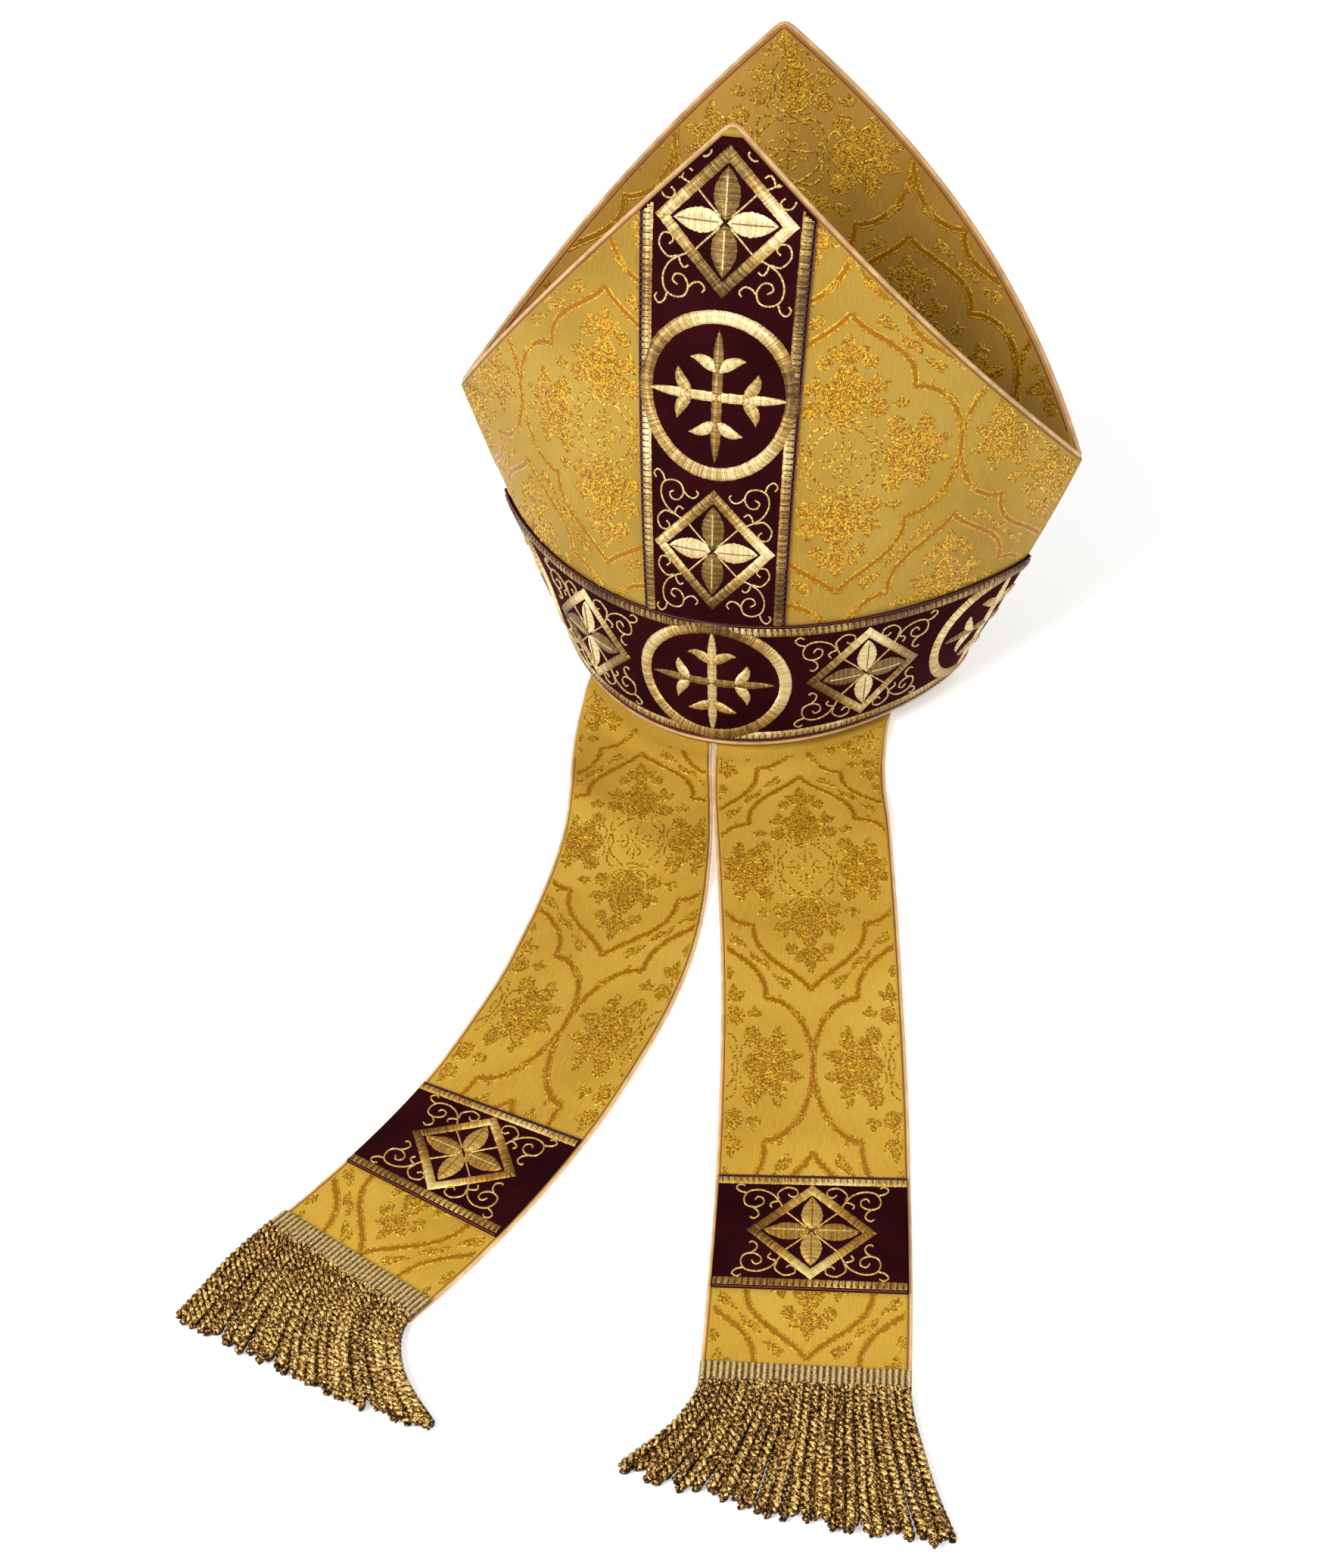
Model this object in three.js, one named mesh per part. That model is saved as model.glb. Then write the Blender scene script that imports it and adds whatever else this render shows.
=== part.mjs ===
import * as THREE from 'three';

// Bishop mitre opened to a head-size oval and stood on a flat surface, with its two lappets laid out
// in front. Millimetres, +Z up. The back panel faces -Y and the lappets run towards -Y.

// The oval body
const RIM_HALF_WIDTH = 96.5;
const RIM_HALF_DEPTH = 94.5;
const CORNER_HALF_SPAN = 153;
const CORNER_HEIGHT = 124.5;
const SEAM_BOW = 0.188;
const HORN_SPREAD = 0.162;
const RIM_ROUNDNESS = 1.3;
const EDGE_BULGE_LEFT = 0.21;
const EDGE_BULGE_RIGHT = 0.323;
const BACK = { side: -1, tip: 300, flare: -0.0848, curl: 0.00122 };
const FRONT = { side: 1, tip: 311.5, flare: 0.1194, curl: 0.00054 };
const NEAR_RIM_LIFT = 9;
const TIP_BLUNT = 1.2;
const SEAM_HALF_GAP = 0.2;

// Cloth, trim and gaps
const WALL = 2.2;
const GUSSET_WALL = 1.6;
const TRIM_WALL = 1.1;
const GAP = 0.35;
const RIM_GAP = 0.6;
const RIM_PIPING_RADIUS = 1.5;
const HORN_PIPING_RADIUS = 2.0;
const HORN_PIPING_GAP = 0.55;
const HORN_PIPING_REACH = 0.965;
const RIM_PIPING_HEIGHT = 1.9;
const BAND_FOOT = 4.4;
const BAND_TOP = 70;
const ORPHREY_FOOT = 70.6;
const ORPHREY_HALF_LOW = 33.7;
const ORPHREY_HALF_HIGH = 40.8;
const ORPHREY_BELOW_TIP = 5;
const ORPHREY_MARGIN = 1.2;
const VALLEY_DEPTH = 9;
const VALLEY_DIP = 14;
const VALLEY_POWER = 3;
const VALLEY_SPREAD = 0.7;
const GUSSET_REACH = 0.86;
const GUSSET_BELOW_EDGE = 1.5;
const GUSSET_GAP = 0.7;

// Lappets: the centre line is x = start + lead * e - turn * e^2, with e counted from y = -120
const LAPPET_ORIGIN_Y = -120;
const SQUARE_AT = 95;
const LAPPET_WALL = 2.2;
const LAPPET_PIPING_RADIUS = 1.2;
const LAPPET_CLEAR_OF_RIM = 3;
// The sewn end inside the rim: how far outside the rim's outline, and how high
const SEWN_ROWS = [
  { out: -6.8, height: 18 },
  { out: -6.4, height: 11.5 },
  { out: -5.4, height: 6.2 },
  { out: -2.6, height: 3.8 },
];
const SEWN_PIPING_GAP = 0.95;
// How a lappet lies, by the way d past the rim or the station e
const UNDER_RIM = { lift: 2.2, hold: 4, ease: 16 };
const SWELL = { height: 2.4, at: 78, reach: 18, ease: 18 };
const HUMP = { height: 1.2, reach: 26, beforeBand: 22, ease: 18 };
const END_WIDENS = { from: 220, over: 100 };
// Tips of the fringe: both ends of their line in plan, and how far its middle bows out
const LEFT = {
  name: 'left', start: -29.2, lead: 0.286, turn: 0.0011, end: 336.5, bandFrom: 235, bandTo: 291,
  halfRim: 33.6, halfMid: 39.2, halfEnd: 39.8, midAt: 140, humpAt: 190,
  tipLeft: [-109.5, -496], tipRight: [3.5, -524], tipBow: 4,
};
const RIGHT = {
  name: 'right', start: 48.3, lead: 0.296, turn: 0.000158, end: 349, bandFrom: 241, bandTo: 301,
  halfRim: 40.8, halfMid: 39.2, halfEnd: 39.8, midAt: 150, humpAt: 208,
  tipLeft: [76, -525], tipRight: [200.5, -530], tipBow: 4.12,
};
const HEADING_LENGTH = 10.5;
const HEADING_WALL = 1.8;
const HEADING_PAST_END = 0.5;
const FRINGE_PAST_END = 0.9;
const FRINGE_HEIGHT = 6.2;

// Colour, roughness and metalness of each finish
const GOLD = { color: 0xc9a045, roughness: 0.45, metalness: 0.3 };
const VELVET = { color: 0x2e0a14, roughness: 0.95, metalness: 0 };
const PEACH = { color: 0xd8a468, roughness: 0.5, metalness: 0 };
const BRAID = { color: 0xb8924a, roughness: 0.4, metalness: 0.5 };
const BRONZE = { color: 0x94702c, roughness: 0.4, metalness: 0.6 };

const smooth = (t) => {
  const c = Math.min(1, Math.max(0, t));
  return c * c * (3 - 2 * c);
};
const mix = (a, b, t) => a + (b - a) * t;

// Half span of a level section between the side seams at height z
function sectionSpan(z) {
  const t = z / CORNER_HEIGHT;
  if (t >= 1) return CORNER_HALF_SPAN + HORN_SPREAD * (z - CORNER_HEIGHT);
  return RIM_HALF_WIDTH + (CORNER_HALF_SPAN - RIM_HALF_WIDTH) * (t + SEAM_BOW * t * (1 - t));
}

// Distance of a panel's centre line from the seam plane at height z
function centreDepth(panel, z) {
  return RIM_HALF_DEPTH - panel.flare * z - 0.5 * panel.curl * z * z;
}

// Depth of a panel at distance x from its centre line: a rounded lens at the rim, a keener one at the corners
function panelY(panel, x, z) {
  const t = Math.min(1, Math.max(0, z / CORNER_HEIGHT));
  const power = 1 / mix(RIM_ROUNDNESS, 1, t);
  const inside = Math.max(0, 1 - (x / sectionSpan(z)) ** 2);
  return panel.side * centreDepth(panel, z) * inside ** power;
}

// Half width of a panel at height z: the side seam up to the corners, the horn edge above them
function panelHalf(panel, z, sign) {
  if (z <= CORNER_HEIGHT) return sectionSpan(z);
  const t = Math.min(1, (z - CORNER_HEIGHT) / (panel.tip - CORNER_HEIGHT));
  const bulge = sign > 0 ? EDGE_BULGE_RIGHT : EDGE_BULGE_LEFT;
  return CORNER_HALF_SPAN * (1 - t) * (1 + bulge * t);
}

// Point of a panel at the share u (-1 to 1) of the girth between its edges at height z
function panelPoint(panel, u, z) {
  const sign = u < 0 ? -1 : 1;
  const span = sectionSpan(z);
  const limit = Math.min(span, panelHalf(panel, z, sign));
  const top = Math.asin(Math.min(1, limit / span));
  const steps = 48;
  const xs = [0];
  const lengths = [0];
  for (let i = 1; i <= steps; i++) {
    const x = span * Math.sin((top * i) / steps);
    const dy = panelY(panel, x, z) - panelY(panel, xs[i - 1], z);
    lengths.push(lengths[i - 1] + Math.hypot(x - xs[i - 1], dy));
    xs.push(x);
  }
  const want = Math.abs(u) * lengths[steps];
  let i = 1;
  while (i < steps && lengths[i] < want) i++;
  const f = (want - lengths[i - 1]) / Math.max(1e-9, lengths[i] - lengths[i - 1]);
  const x = sign * mix(xs[i - 1], xs[i], f);
  return new THREE.Vector3(x, panelY(panel, x, z), z);
}

// Point of a panel at distance w along its level section from the centre line
function panelAt(panel, w, z) {
  const span = sectionSpan(z);
  const radius = (span * span) / (2 * centreDepth(panel, z));
  const x = radius * Math.asinh(w / radius);
  return new THREE.Vector3(x, panelY(panel, x, z), z);
}

// Outward direction of a panel, across its girth and up its height
function panelNormal(panel, x, z) {
  const span = sectionSpan(z);
  const d = 0.6;
  const x0 = Math.max(-span * 0.999, x - d);
  const x1 = Math.min(span * 0.999, x + d);
  const zLow = Math.max(0, z - d);
  const zHigh = z + d;
  const across = new THREE.Vector3(x1 - x0, panelY(panel, x1, z) - panelY(panel, x0, z), 0);
  const inner = Math.sign(x) * Math.min(Math.abs(x), sectionSpan(zLow) * 0.999);
  const rise = panelY(panel, inner, zHigh) - panelY(panel, inner, zLow);
  const up = new THREE.Vector3(0, rise, zHigh - zLow);
  const normal = across.cross(up).normalize();
  if (normal.y * panel.side < 0) normal.negate();
  return normal;
}

// The body leans back a little, because the lappets pass under the near part of the rim
const LEAN = Math.asin(NEAR_RIM_LIFT / (2 * RIM_HALF_DEPTH));
function lean(p) {
  const y = p.y - RIM_HALF_DEPTH;
  const c = Math.cos(LEAN);
  const s = Math.sin(LEAN);
  return new THREE.Vector3(p.x, RIM_HALF_DEPTH + c * y + s * p.z, -s * y + c * p.z);
}

// Closed wall between two grids of points with the same rows and columns
function wall(name, outer, inner, finish) {
  const rows = outer.length;
  const cols = outer[0].length;
  const points = [];
  for (const grid of [outer, inner]) for (const row of grid) for (const p of row) points.push(p.x, p.y, p.z);
  const index = [];
  const at = (layer, r, c) => layer * rows * cols + r * cols + c;
  const quad = (a, b, c, d) => index.push(a, b, c, a, c, d);
  for (let r = 0; r + 1 < rows; r++) {
    for (let c = 0; c + 1 < cols; c++) {
      quad(at(0, r, c), at(0, r, c + 1), at(0, r + 1, c + 1), at(0, r + 1, c));
      quad(at(1, r, c), at(1, r + 1, c), at(1, r + 1, c + 1), at(1, r, c + 1));
    }
    quad(at(0, r, 0), at(0, r + 1, 0), at(1, r + 1, 0), at(1, r, 0));
    quad(at(0, r, cols - 1), at(1, r, cols - 1), at(1, r + 1, cols - 1), at(0, r + 1, cols - 1));
  }
  for (let c = 0; c + 1 < cols; c++) {
    quad(at(0, 0, c), at(1, 0, c), at(1, 0, c + 1), at(0, 0, c + 1));
    const r = rows - 1;
    quad(at(0, r, c), at(0, r, c + 1), at(1, r, c + 1), at(1, r, c));
  }
  return solid(name, points, index, finish);
}

// Closed ring of one section, carried round a loop of frames
function ring(name, loops, finish) {
  const count = loops.length;
  const sides = loops[0].length;
  const points = [];
  for (const loop of loops) for (const p of loop) points.push(p.x, p.y, p.z);
  const index = [];
  for (let i = 0; i < count; i++) {
    const j = (i + 1) % count;
    for (let k = 0; k < sides; k++) {
      const m = (k + 1) % sides;
      index.push(i * sides + k, j * sides + k, j * sides + m, i * sides + k, j * sides + m, i * sides + m);
    }
  }
  return solid(name, points, index, finish);
}

// Round cord along an open or closed path
function cord(name, path, radius, sides, closed, finish) {
  const count = path.length;
  const loops = [];
  let normal = new THREE.Vector3(0, 0, 1);
  for (let i = 0; i < count; i++) {
    const before = path[closed ? (i + count - 1) % count : Math.max(0, i - 1)];
    const after = path[closed ? (i + 1) % count : Math.min(count - 1, i + 1)];
    const along = after.clone().sub(before).normalize();
    normal = normal.clone().addScaledVector(along, -normal.dot(along)).normalize();
    const binormal = along.clone().cross(normal);
    const loop = [];
    for (let k = 0; k < sides; k++) {
      const a = (2 * Math.PI * k) / sides;
      const p = path[i].clone().addScaledVector(normal, radius * Math.cos(a));
      loop.push(p.addScaledVector(binormal, radius * Math.sin(a)));
    }
    loops.push(loop);
  }
  if (closed) return ring(name, loops, finish);
  const points = [];
  for (const loop of loops) for (const p of loop) points.push(p.x, p.y, p.z);
  const index = [];
  for (let i = 0; i + 1 < count; i++) {
    for (let k = 0; k < sides; k++) {
      const m = (k + 1) % sides;
      const a = i * sides;
      const b = (i + 1) * sides;
      index.push(a + k, b + k, b + m, a + k, b + m, a + m);
    }
  }
  for (let k = 1; k + 1 < sides; k++) {
    const last = (count - 1) * sides;
    index.push(0, k, k + 1, last, last + k + 1, last + k);
  }
  return solid(name, points, index, finish);
}

// Mesh that faces out, whichever way its rows run
function solid(name, points, index, finish) {
  let volume = 0;
  const a = new THREE.Vector3();
  const b = new THREE.Vector3();
  const c = new THREE.Vector3();
  for (let i = 0; i < index.length; i += 3) {
    a.fromArray(points, 3 * index[i]);
    b.fromArray(points, 3 * index[i + 1]);
    c.fromArray(points, 3 * index[i + 2]);
    volume += a.dot(b.cross(c));
  }
  if (volume < 0) index.reverse();
  const geometry = new THREE.BufferGeometry();
  geometry.setAttribute('position', new THREE.Float32BufferAttribute(points, 3));
  geometry.setIndex(index);
  geometry.computeVertexNormals();
  const mesh = new THREE.Mesh(geometry, new THREE.MeshStandardMaterial(finish));
  mesh.name = name;
  return mesh;
}

// Heights of a panel's rows: even below the corners, even again up the horn, blunt at the tip
function panelRows(panel, low, high) {
  const rows = [];
  for (let i = 0; i < low; i++) rows.push((CORNER_HEIGHT * i) / low);
  for (let i = 0; i <= high; i++) rows.push(mix(CORNER_HEIGHT, panel.tip - TIP_BLUNT, i / high));
  return rows;
}

function buildPanel(name, panel) {
  const outer = [];
  const inner = [];
  const cols = 18;
  for (const z of panelRows(panel, 6, 10)) {
    const o = [];
    const n = [];
    for (let c = 0; c <= cols; c++) {
      const p = panelPoint(panel, -1 + (2 * c) / cols, z);
      const q = p.clone().addScaledVector(panelNormal(panel, p.x, z), -WALL);
      p.y = panel.side * Math.max(SEAM_HALF_GAP, panel.side * p.y);
      q.y = panel.side * Math.max(SEAM_HALF_GAP, panel.side * q.y);
      q.z = Math.max(0, q.z);
      o.push(lean(p));
      n.push(lean(q));
    }
    outer.push(o);
    inner.push(n);
  }
  return wall(name, outer, inner, GOLD);
}

// Strip laid on the outside of a panel along its centre line, cut to the horn's point at the top
function buildOrphrey(name, panel) {
  const outer = [];
  const inner = [];
  const rows = 16;
  const cols = 6;
  const last = panel.tip - ORPHREY_BELOW_TIP;
  for (let r = 0; r <= rows; r++) {
    const z = mix(ORPHREY_FOOT, last, r / rows);
    const wide = mix(ORPHREY_HALF_LOW, ORPHREY_HALF_HIGH, (z - ORPHREY_FOOT) / (last - ORPHREY_FOOT));
    const o = [];
    const n = [];
    for (let c = 0; c <= cols; c++) {
      const u = -1 + (2 * c) / cols;
      const half = Math.min(wide, panelHalf(panel, z, u) - ORPHREY_MARGIN);
      const p = panelAt(panel, u * half, z);
      const normal = panelNormal(panel, p.x, z);
      n.push(lean(p.clone().addScaledVector(normal, GAP)));
      o.push(lean(p.addScaledVector(normal, GAP + TRIM_WALL)));
    }
    outer.push(o);
    inner.push(n);
  }
  return wall(name, outer, inner, VELVET);
}

// Points right round the oval at height z, at a distance outside the cloth
function ovalLoop(z, out, perSide) {
  const loop = [];
  for (const panel of [BACK, FRONT]) {
    for (let c = 0; c < perSide; c++) {
      const u = panel.side * (1 - (2 * c) / perSide);
      const p = panelPoint(panel, u, z);
      const normal = c === 0 ? new THREE.Vector3(Math.sign(p.x), 0, 0) : panelNormal(panel, p.x, z);
      loop.push(p.addScaledVector(normal, out));
    }
  }
  return loop;
}

function buildRimBand() {
  const perSide = 24;
  const heights = 3;
  const sections = Array.from({ length: 2 * perSide }, () => []);
  const addLoop = (h, out) => {
    const loop = ovalLoop(mix(BAND_FOOT, BAND_TOP, h / heights), out, perSide);
    loop.forEach((p, i) => sections[i].push(lean(p)));
  };
  for (let h = 0; h <= heights; h++) addLoop(h, RIM_GAP + TRIM_WALL);
  for (let h = heights; h >= 0; h--) addLoop(h, RIM_GAP);
  return ring('rim_band', sections, VELVET);
}

function buildRimPiping() {
  const loop = ovalLoop(RIM_PIPING_HEIGHT, RIM_GAP + RIM_PIPING_RADIUS, 28);
  const path = loop.map((p) => lean(p.setZ(RIM_PIPING_HEIGHT)));
  return cord('rim_piping', path, RIM_PIPING_RADIUS, 5, true, PEACH);
}

// Horn edge of a panel from the left corner over the tip to the right corner, moved off the cloth
function hornEdge(panel, reach, steps, away, inward) {
  const path = [];
  for (let i = -steps; i <= steps; i++) {
    const share = (reach * Math.abs(i)) / steps;
    const sign = i < 0 ? -1 : 1;
    const at = (s) => {
      const z = mix(panel.tip, CORNER_HEIGHT, Math.min(1, s));
      const x = sign * panelHalf(panel, z, sign);
      return new THREE.Vector3(x, panelY(panel, x, z), z);
    };
    const p = at(share);
    const along = at(share + 0.01).sub(at(Math.max(0, share - 0.01))).normalize();
    const normal = panelNormal(panel, p.x, Math.min(p.z, panel.tip - 1));
    const off = along.cross(normal).normalize();
    if (off.x * sign < 0 || off.z < 0) off.negate();
    if (i === 0) off.set(0, 0, 1);
    path.push(p.addScaledVector(off, away).addScaledVector(normal, -inward));
  }
  return path;
}

function buildHornPiping(name, panel) {
  const path = hornEdge(panel, HORN_PIPING_REACH, 20, HORN_PIPING_RADIUS + HORN_PIPING_GAP, 0.5 * WALL);
  return cord(name, path.map(lean), HORN_PIPING_RADIUS, 5, false, PEACH);
}

// Soft valley between the horns: each cross-section falls from one horn's edge and climbs to the other's
function buildGusset() {
  const steps = 11;
  const inset = WALL + GUSSET_GAP + 0.5 * GUSSET_WALL;
  const near = hornEdge(BACK, GUSSET_REACH, steps, -GUSSET_BELOW_EDGE, inset);
  const far = hornEdge(FRONT, GUSSET_REACH, steps, -GUSSET_BELOW_EDGE, inset);
  const across = 7;
  const middle = [];
  for (let i = 0; i < near.length; i++) {
    const x = 0.5 * (near[i].x + far[i].x);
    const bed = CORNER_HEIGHT - VALLEY_DEPTH + VALLEY_DIP * (x / CORNER_HALF_SPAN) ** 2;
    const row = [];
    for (let k = -across; k <= across; k++) {
      const edge = k < 0 ? near[i] : far[i];
      const v = Math.abs(k / across) ** VALLEY_SPREAD;
      row.push(new THREE.Vector3(mix(x, edge.x, v), edge.y * v, mix(bed, edge.z, v ** VALLEY_POWER)));
    }
    middle.push(row);
  }
  return wallAbout('crown_gusset', middle, GUSSET_WALL, GOLD, lean);
}

// Wall of even thickness about a middle grid
function wallAbout(name, middle, thick, finish, place) {
  const rows = middle.length;
  const cols = middle[0].length;
  const layers = [[], []];
  for (let r = 0; r < rows; r++) {
    const pair = [[], []];
    for (let c = 0; c < cols; c++) {
      const du = middle[r][Math.min(cols - 1, c + 1)].clone().sub(middle[r][Math.max(0, c - 1)]);
      const dv = middle[Math.min(rows - 1, r + 1)][c].clone().sub(middle[Math.max(0, r - 1)][c]);
      const normal = du.cross(dv).normalize();
      pair[0].push(place(middle[r][c].clone().addScaledVector(normal, 0.5 * thick)));
      pair[1].push(place(middle[r][c].clone().addScaledVector(normal, -0.5 * thick)));
    }
    layers[0].push(pair[0]);
    layers[1].push(pair[1]);
  }
  return wall(name, layers[0], layers[1], finish);
}

// Half width of a lappet with its piping
function lappetHalf(lappet, e) {
  const toMid = mix(lappet.halfRim, lappet.halfMid, smooth(e / lappet.midAt));
  return toMid + (lappet.halfEnd - lappet.halfMid) * smooth((e - END_WIDENS.from) / END_WIDENS.over);
}

// Plan point of a lappet at offset w from its centre line, which meets the rim nearly square
function lappetPlan(lappet, w, e) {
  const turn = e < 0 ? -lappet.lead / (2 * SQUARE_AT) : lappet.turn;
  const slope = lappet.lead - 2 * turn * e;
  const size = Math.hypot(1, slope);
  const x = lappet.start + lappet.lead * e - turn * e * e + w / size;
  return [x, LAPPET_ORIGIN_Y - e + (w * slope) / size];
}

// Where the line at offset w passes under the rim
function lappetStart(lappet, w, out) {
  let low = -90;
  let high = 40;
  for (let i = 0; i < 40; i++) {
    const e = 0.5 * (low + high);
    const [x, y] = lappetPlan(lappet, w, e);
    const across = Math.max(0, 1 - (x / (RIM_HALF_WIDTH + out)) ** 2);
    const inside = -y < (RIM_HALF_DEPTH + out) * across ** (1 / RIM_ROUNDNESS);
    if (inside) low = e;
    else high = e;
  }
  return 0.5 * (low + high);
}

// Height of a lappet's middle: under the rim, over a low swell, and flat on the surface to the end
function lappetRise(lappet, e, d) {
  const flat = 0.5 * LAPPET_WALL;
  const under = UNDER_RIM.lift * (1 - smooth((d - UNDER_RIM.hold) / UNDER_RIM.ease));
  const swell = SWELL.height * Math.exp(-(((d - SWELL.at) / SWELL.reach) ** 2)) * smooth(d / SWELL.ease);
  const fade = 1 - smooth((e - lappet.bandFrom + HUMP.beforeBand) / HUMP.ease);
  const hump = HUMP.height * Math.exp(-(((e - lappet.humpAt) / HUMP.reach) ** 2)) * fade;
  return flat + under + swell + hump;
}

// Middle of a lappet from its sewn end inside the rim to its free end; offsets are shares of the half width
function lappetMiddle(lappet, share, trimmed, stations) {
  const w0 = share * (lappetHalf(lappet, 0) - trimmed);
  const points = [];
  for (const { out, height } of SEWN_ROWS) {
    const [x, y] = lappetPlan(lappet, w0, lappetStart(lappet, w0, out));
    points.push(new THREE.Vector3(x, y, height));
  }
  const first = lappetStart(lappet, w0, LAPPET_CLEAR_OF_RIM);
  for (let i = 0; i <= stations; i++) {
    const f = i / stations;
    const e = mix(first, lappet.end, f);
    const w = share * (lappetHalf(lappet, e) - trimmed);
    const [x, y] = lappetPlan(lappet, w, e);
    points.push(new THREE.Vector3(x, y, lappetRise(lappet, e, e - first)));
  }
  return points;
}

const EDGE_TRIM = 2 * LAPPET_PIPING_RADIUS + GAP;
const keep = (p) => p;

function buildLappet(lappet) {
  const cols = 4;
  const middle = [];
  for (let c = 0; c <= cols; c++) middle.push(lappetMiddle(lappet, -1 + (2 * c) / cols, EDGE_TRIM, 28));
  return wallAbout(`${lappet.name}_lappet`, middle, LAPPET_WALL, GOLD, keep);
}

// Piping down both long edges, joined across the sewn end
function buildLappetPiping(lappet) {
  const half = 0.5 * LAPPET_WALL - LAPPET_PIPING_RADIUS;
  const side = (sign) => {
    const middle = lappetMiddle(lappet, sign, LAPPET_PIPING_RADIUS, 28);
    return middle.map((p) => p.setZ(p.z - half));
  };
  const left = side(-1);
  const right = side(1);
  const sewn = SEWN_ROWS[0];
  const across = [];
  for (let i = 0; i <= 12; i++) {
    const w = mix(-1, 1, i / 12) * (lappetHalf(lappet, 0) - LAPPET_PIPING_RADIUS);
    const [x, y] = lappetPlan(lappet, w, lappetStart(lappet, w, sewn.out));
    across.push(new THREE.Vector3(x, y, sewn.height + LAPPET_PIPING_RADIUS + SEWN_PIPING_GAP));
  }
  const path = [...left.slice(1).reverse(), ...across, ...right.slice(1)];
  return cord(`${lappet.name}_lappet_piping`, path, LAPPET_PIPING_RADIUS, 5, false, PEACH);
}

// Strip lying on a lappet from one station to another
function strip(name, lappet, from, to, low, thick, rows, finish) {
  const outer = [];
  const inner = [];
  const cols = 6;
  for (let r = 0; r <= rows; r++) {
    const e = mix(from, to, r / rows);
    const half = lappetHalf(lappet, e);
    const o = [];
    const n = [];
    for (let c = 0; c <= cols; c++) {
      const [x, y] = lappetPlan(lappet, half * (-1 + (2 * c) / cols), e);
      n.push(new THREE.Vector3(x, y, low));
      o.push(new THREE.Vector3(x, y, low + thick));
    }
    outer.push(o);
    inner.push(n);
  }
  return wall(name, outer, inner, finish);
}

// Outer form of the fringe: it fans out from the lappet's end to the bowed line of its tips
function buildFringe(lappet) {
  const outer = [];
  const inner = [];
  const rows = 5;
  const cols = 6;
  const half = lappetHalf(lappet, lappet.end);
  const [leftX, leftY] = lappet.tipLeft;
  const [rightX, rightY] = lappet.tipRight;
  const chord = Math.hypot(rightX - leftX, rightY - leftY);
  for (let r = 0; r <= rows; r++) {
    const o = [];
    const n = [];
    for (let c = 0; c <= cols; c++) {
      const u = -1 + (2 * c) / cols;
      const [rootX, rootY] = lappetPlan(lappet, half * u, lappet.end + FRINGE_PAST_END);
      const bow = (lappet.tipBow * (1 - u * u)) / chord;
      const tipX = mix(leftX, rightX, c / cols) + bow * (rightY - leftY);
      const tipY = mix(leftY, rightY, c / cols) - bow * (rightX - leftX);
      const x = mix(rootX, tipX, r / rows);
      const y = mix(rootY, tipY, r / rows);
      n.push(new THREE.Vector3(x, y, 0));
      o.push(new THREE.Vector3(x, y, FRINGE_HEIGHT));
    }
    outer.push(o);
    inner.push(n);
  }
  return wall(`${lappet.name}_fringe`, outer, inner, BRONZE);
}

function buildLappetTrim(lappet) {
  const top = 2 * LAPPET_PIPING_RADIUS + GAP;
  const { name, bandFrom, bandTo, end } = lappet;
  const headingFrom = end - HEADING_LENGTH;
  const headingTo = end + HEADING_PAST_END;
  return [
    strip(`${name}_lappet_band`, lappet, bandFrom, bandTo, top, TRIM_WALL, 5, VELVET),
    strip(`${name}_fringe_heading`, lappet, headingFrom, headingTo, top, HEADING_WALL, 2, BRAID),
    buildFringe(lappet),
  ];
}

function buildMitre() {
  const group = new THREE.Group();
  group.name = 'bishop_mitre';
  const pieces = [
    buildPanel('back_panel', BACK),
    buildPanel('front_panel', FRONT),
    buildGusset(),
    buildOrphrey('back_orphrey', BACK),
    buildOrphrey('front_orphrey', FRONT),
    buildRimBand(),
    buildRimPiping(),
    buildHornPiping('back_horn_piping', BACK),
    buildHornPiping('front_horn_piping', FRONT),
  ];
  for (const lappet of [LEFT, RIGHT]) {
    pieces.push(buildLappet(lappet), buildLappetPiping(lappet), ...buildLappetTrim(lappet));
  }
  const box = new THREE.Box3();
  for (const piece of pieces) box.expandByObject(piece);
  const centre = box.getCenter(new THREE.Vector3());
  for (const piece of pieces) {
    piece.geometry.translate(-centre.x, -centre.y, -box.min.z);
    group.add(piece);
  }
  return group;
}

export default buildMitre();
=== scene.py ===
"""Bishop mitre of gold brocade: shaped cloth, woven figure, velvet galloons, piping and fringed lappets."""
from __future__ import annotations

import logging
from dataclasses import dataclass, fields, replace
from enum import Enum, IntEnum
from typing import Self

import bpy
import numpy as np
from mathutils import Matrix


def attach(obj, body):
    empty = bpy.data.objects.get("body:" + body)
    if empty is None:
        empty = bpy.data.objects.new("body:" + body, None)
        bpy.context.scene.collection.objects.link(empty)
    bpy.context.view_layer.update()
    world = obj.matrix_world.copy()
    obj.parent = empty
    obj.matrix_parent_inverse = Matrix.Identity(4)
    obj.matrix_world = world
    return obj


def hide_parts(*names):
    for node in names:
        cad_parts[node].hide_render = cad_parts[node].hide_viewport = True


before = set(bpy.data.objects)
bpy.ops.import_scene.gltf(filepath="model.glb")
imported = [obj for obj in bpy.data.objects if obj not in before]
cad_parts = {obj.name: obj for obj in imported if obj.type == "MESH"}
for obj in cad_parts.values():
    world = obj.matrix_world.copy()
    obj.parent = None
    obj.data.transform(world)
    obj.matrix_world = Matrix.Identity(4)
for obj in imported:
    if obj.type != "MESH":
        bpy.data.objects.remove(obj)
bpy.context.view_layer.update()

Array = np.ndarray
Material = bpy.types.Material
Node = bpy.types.Node
Object = bpy.types.Object
Socket = bpy.types.NodeSocket
Stops = tuple[tuple[float, str], ...]
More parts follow.
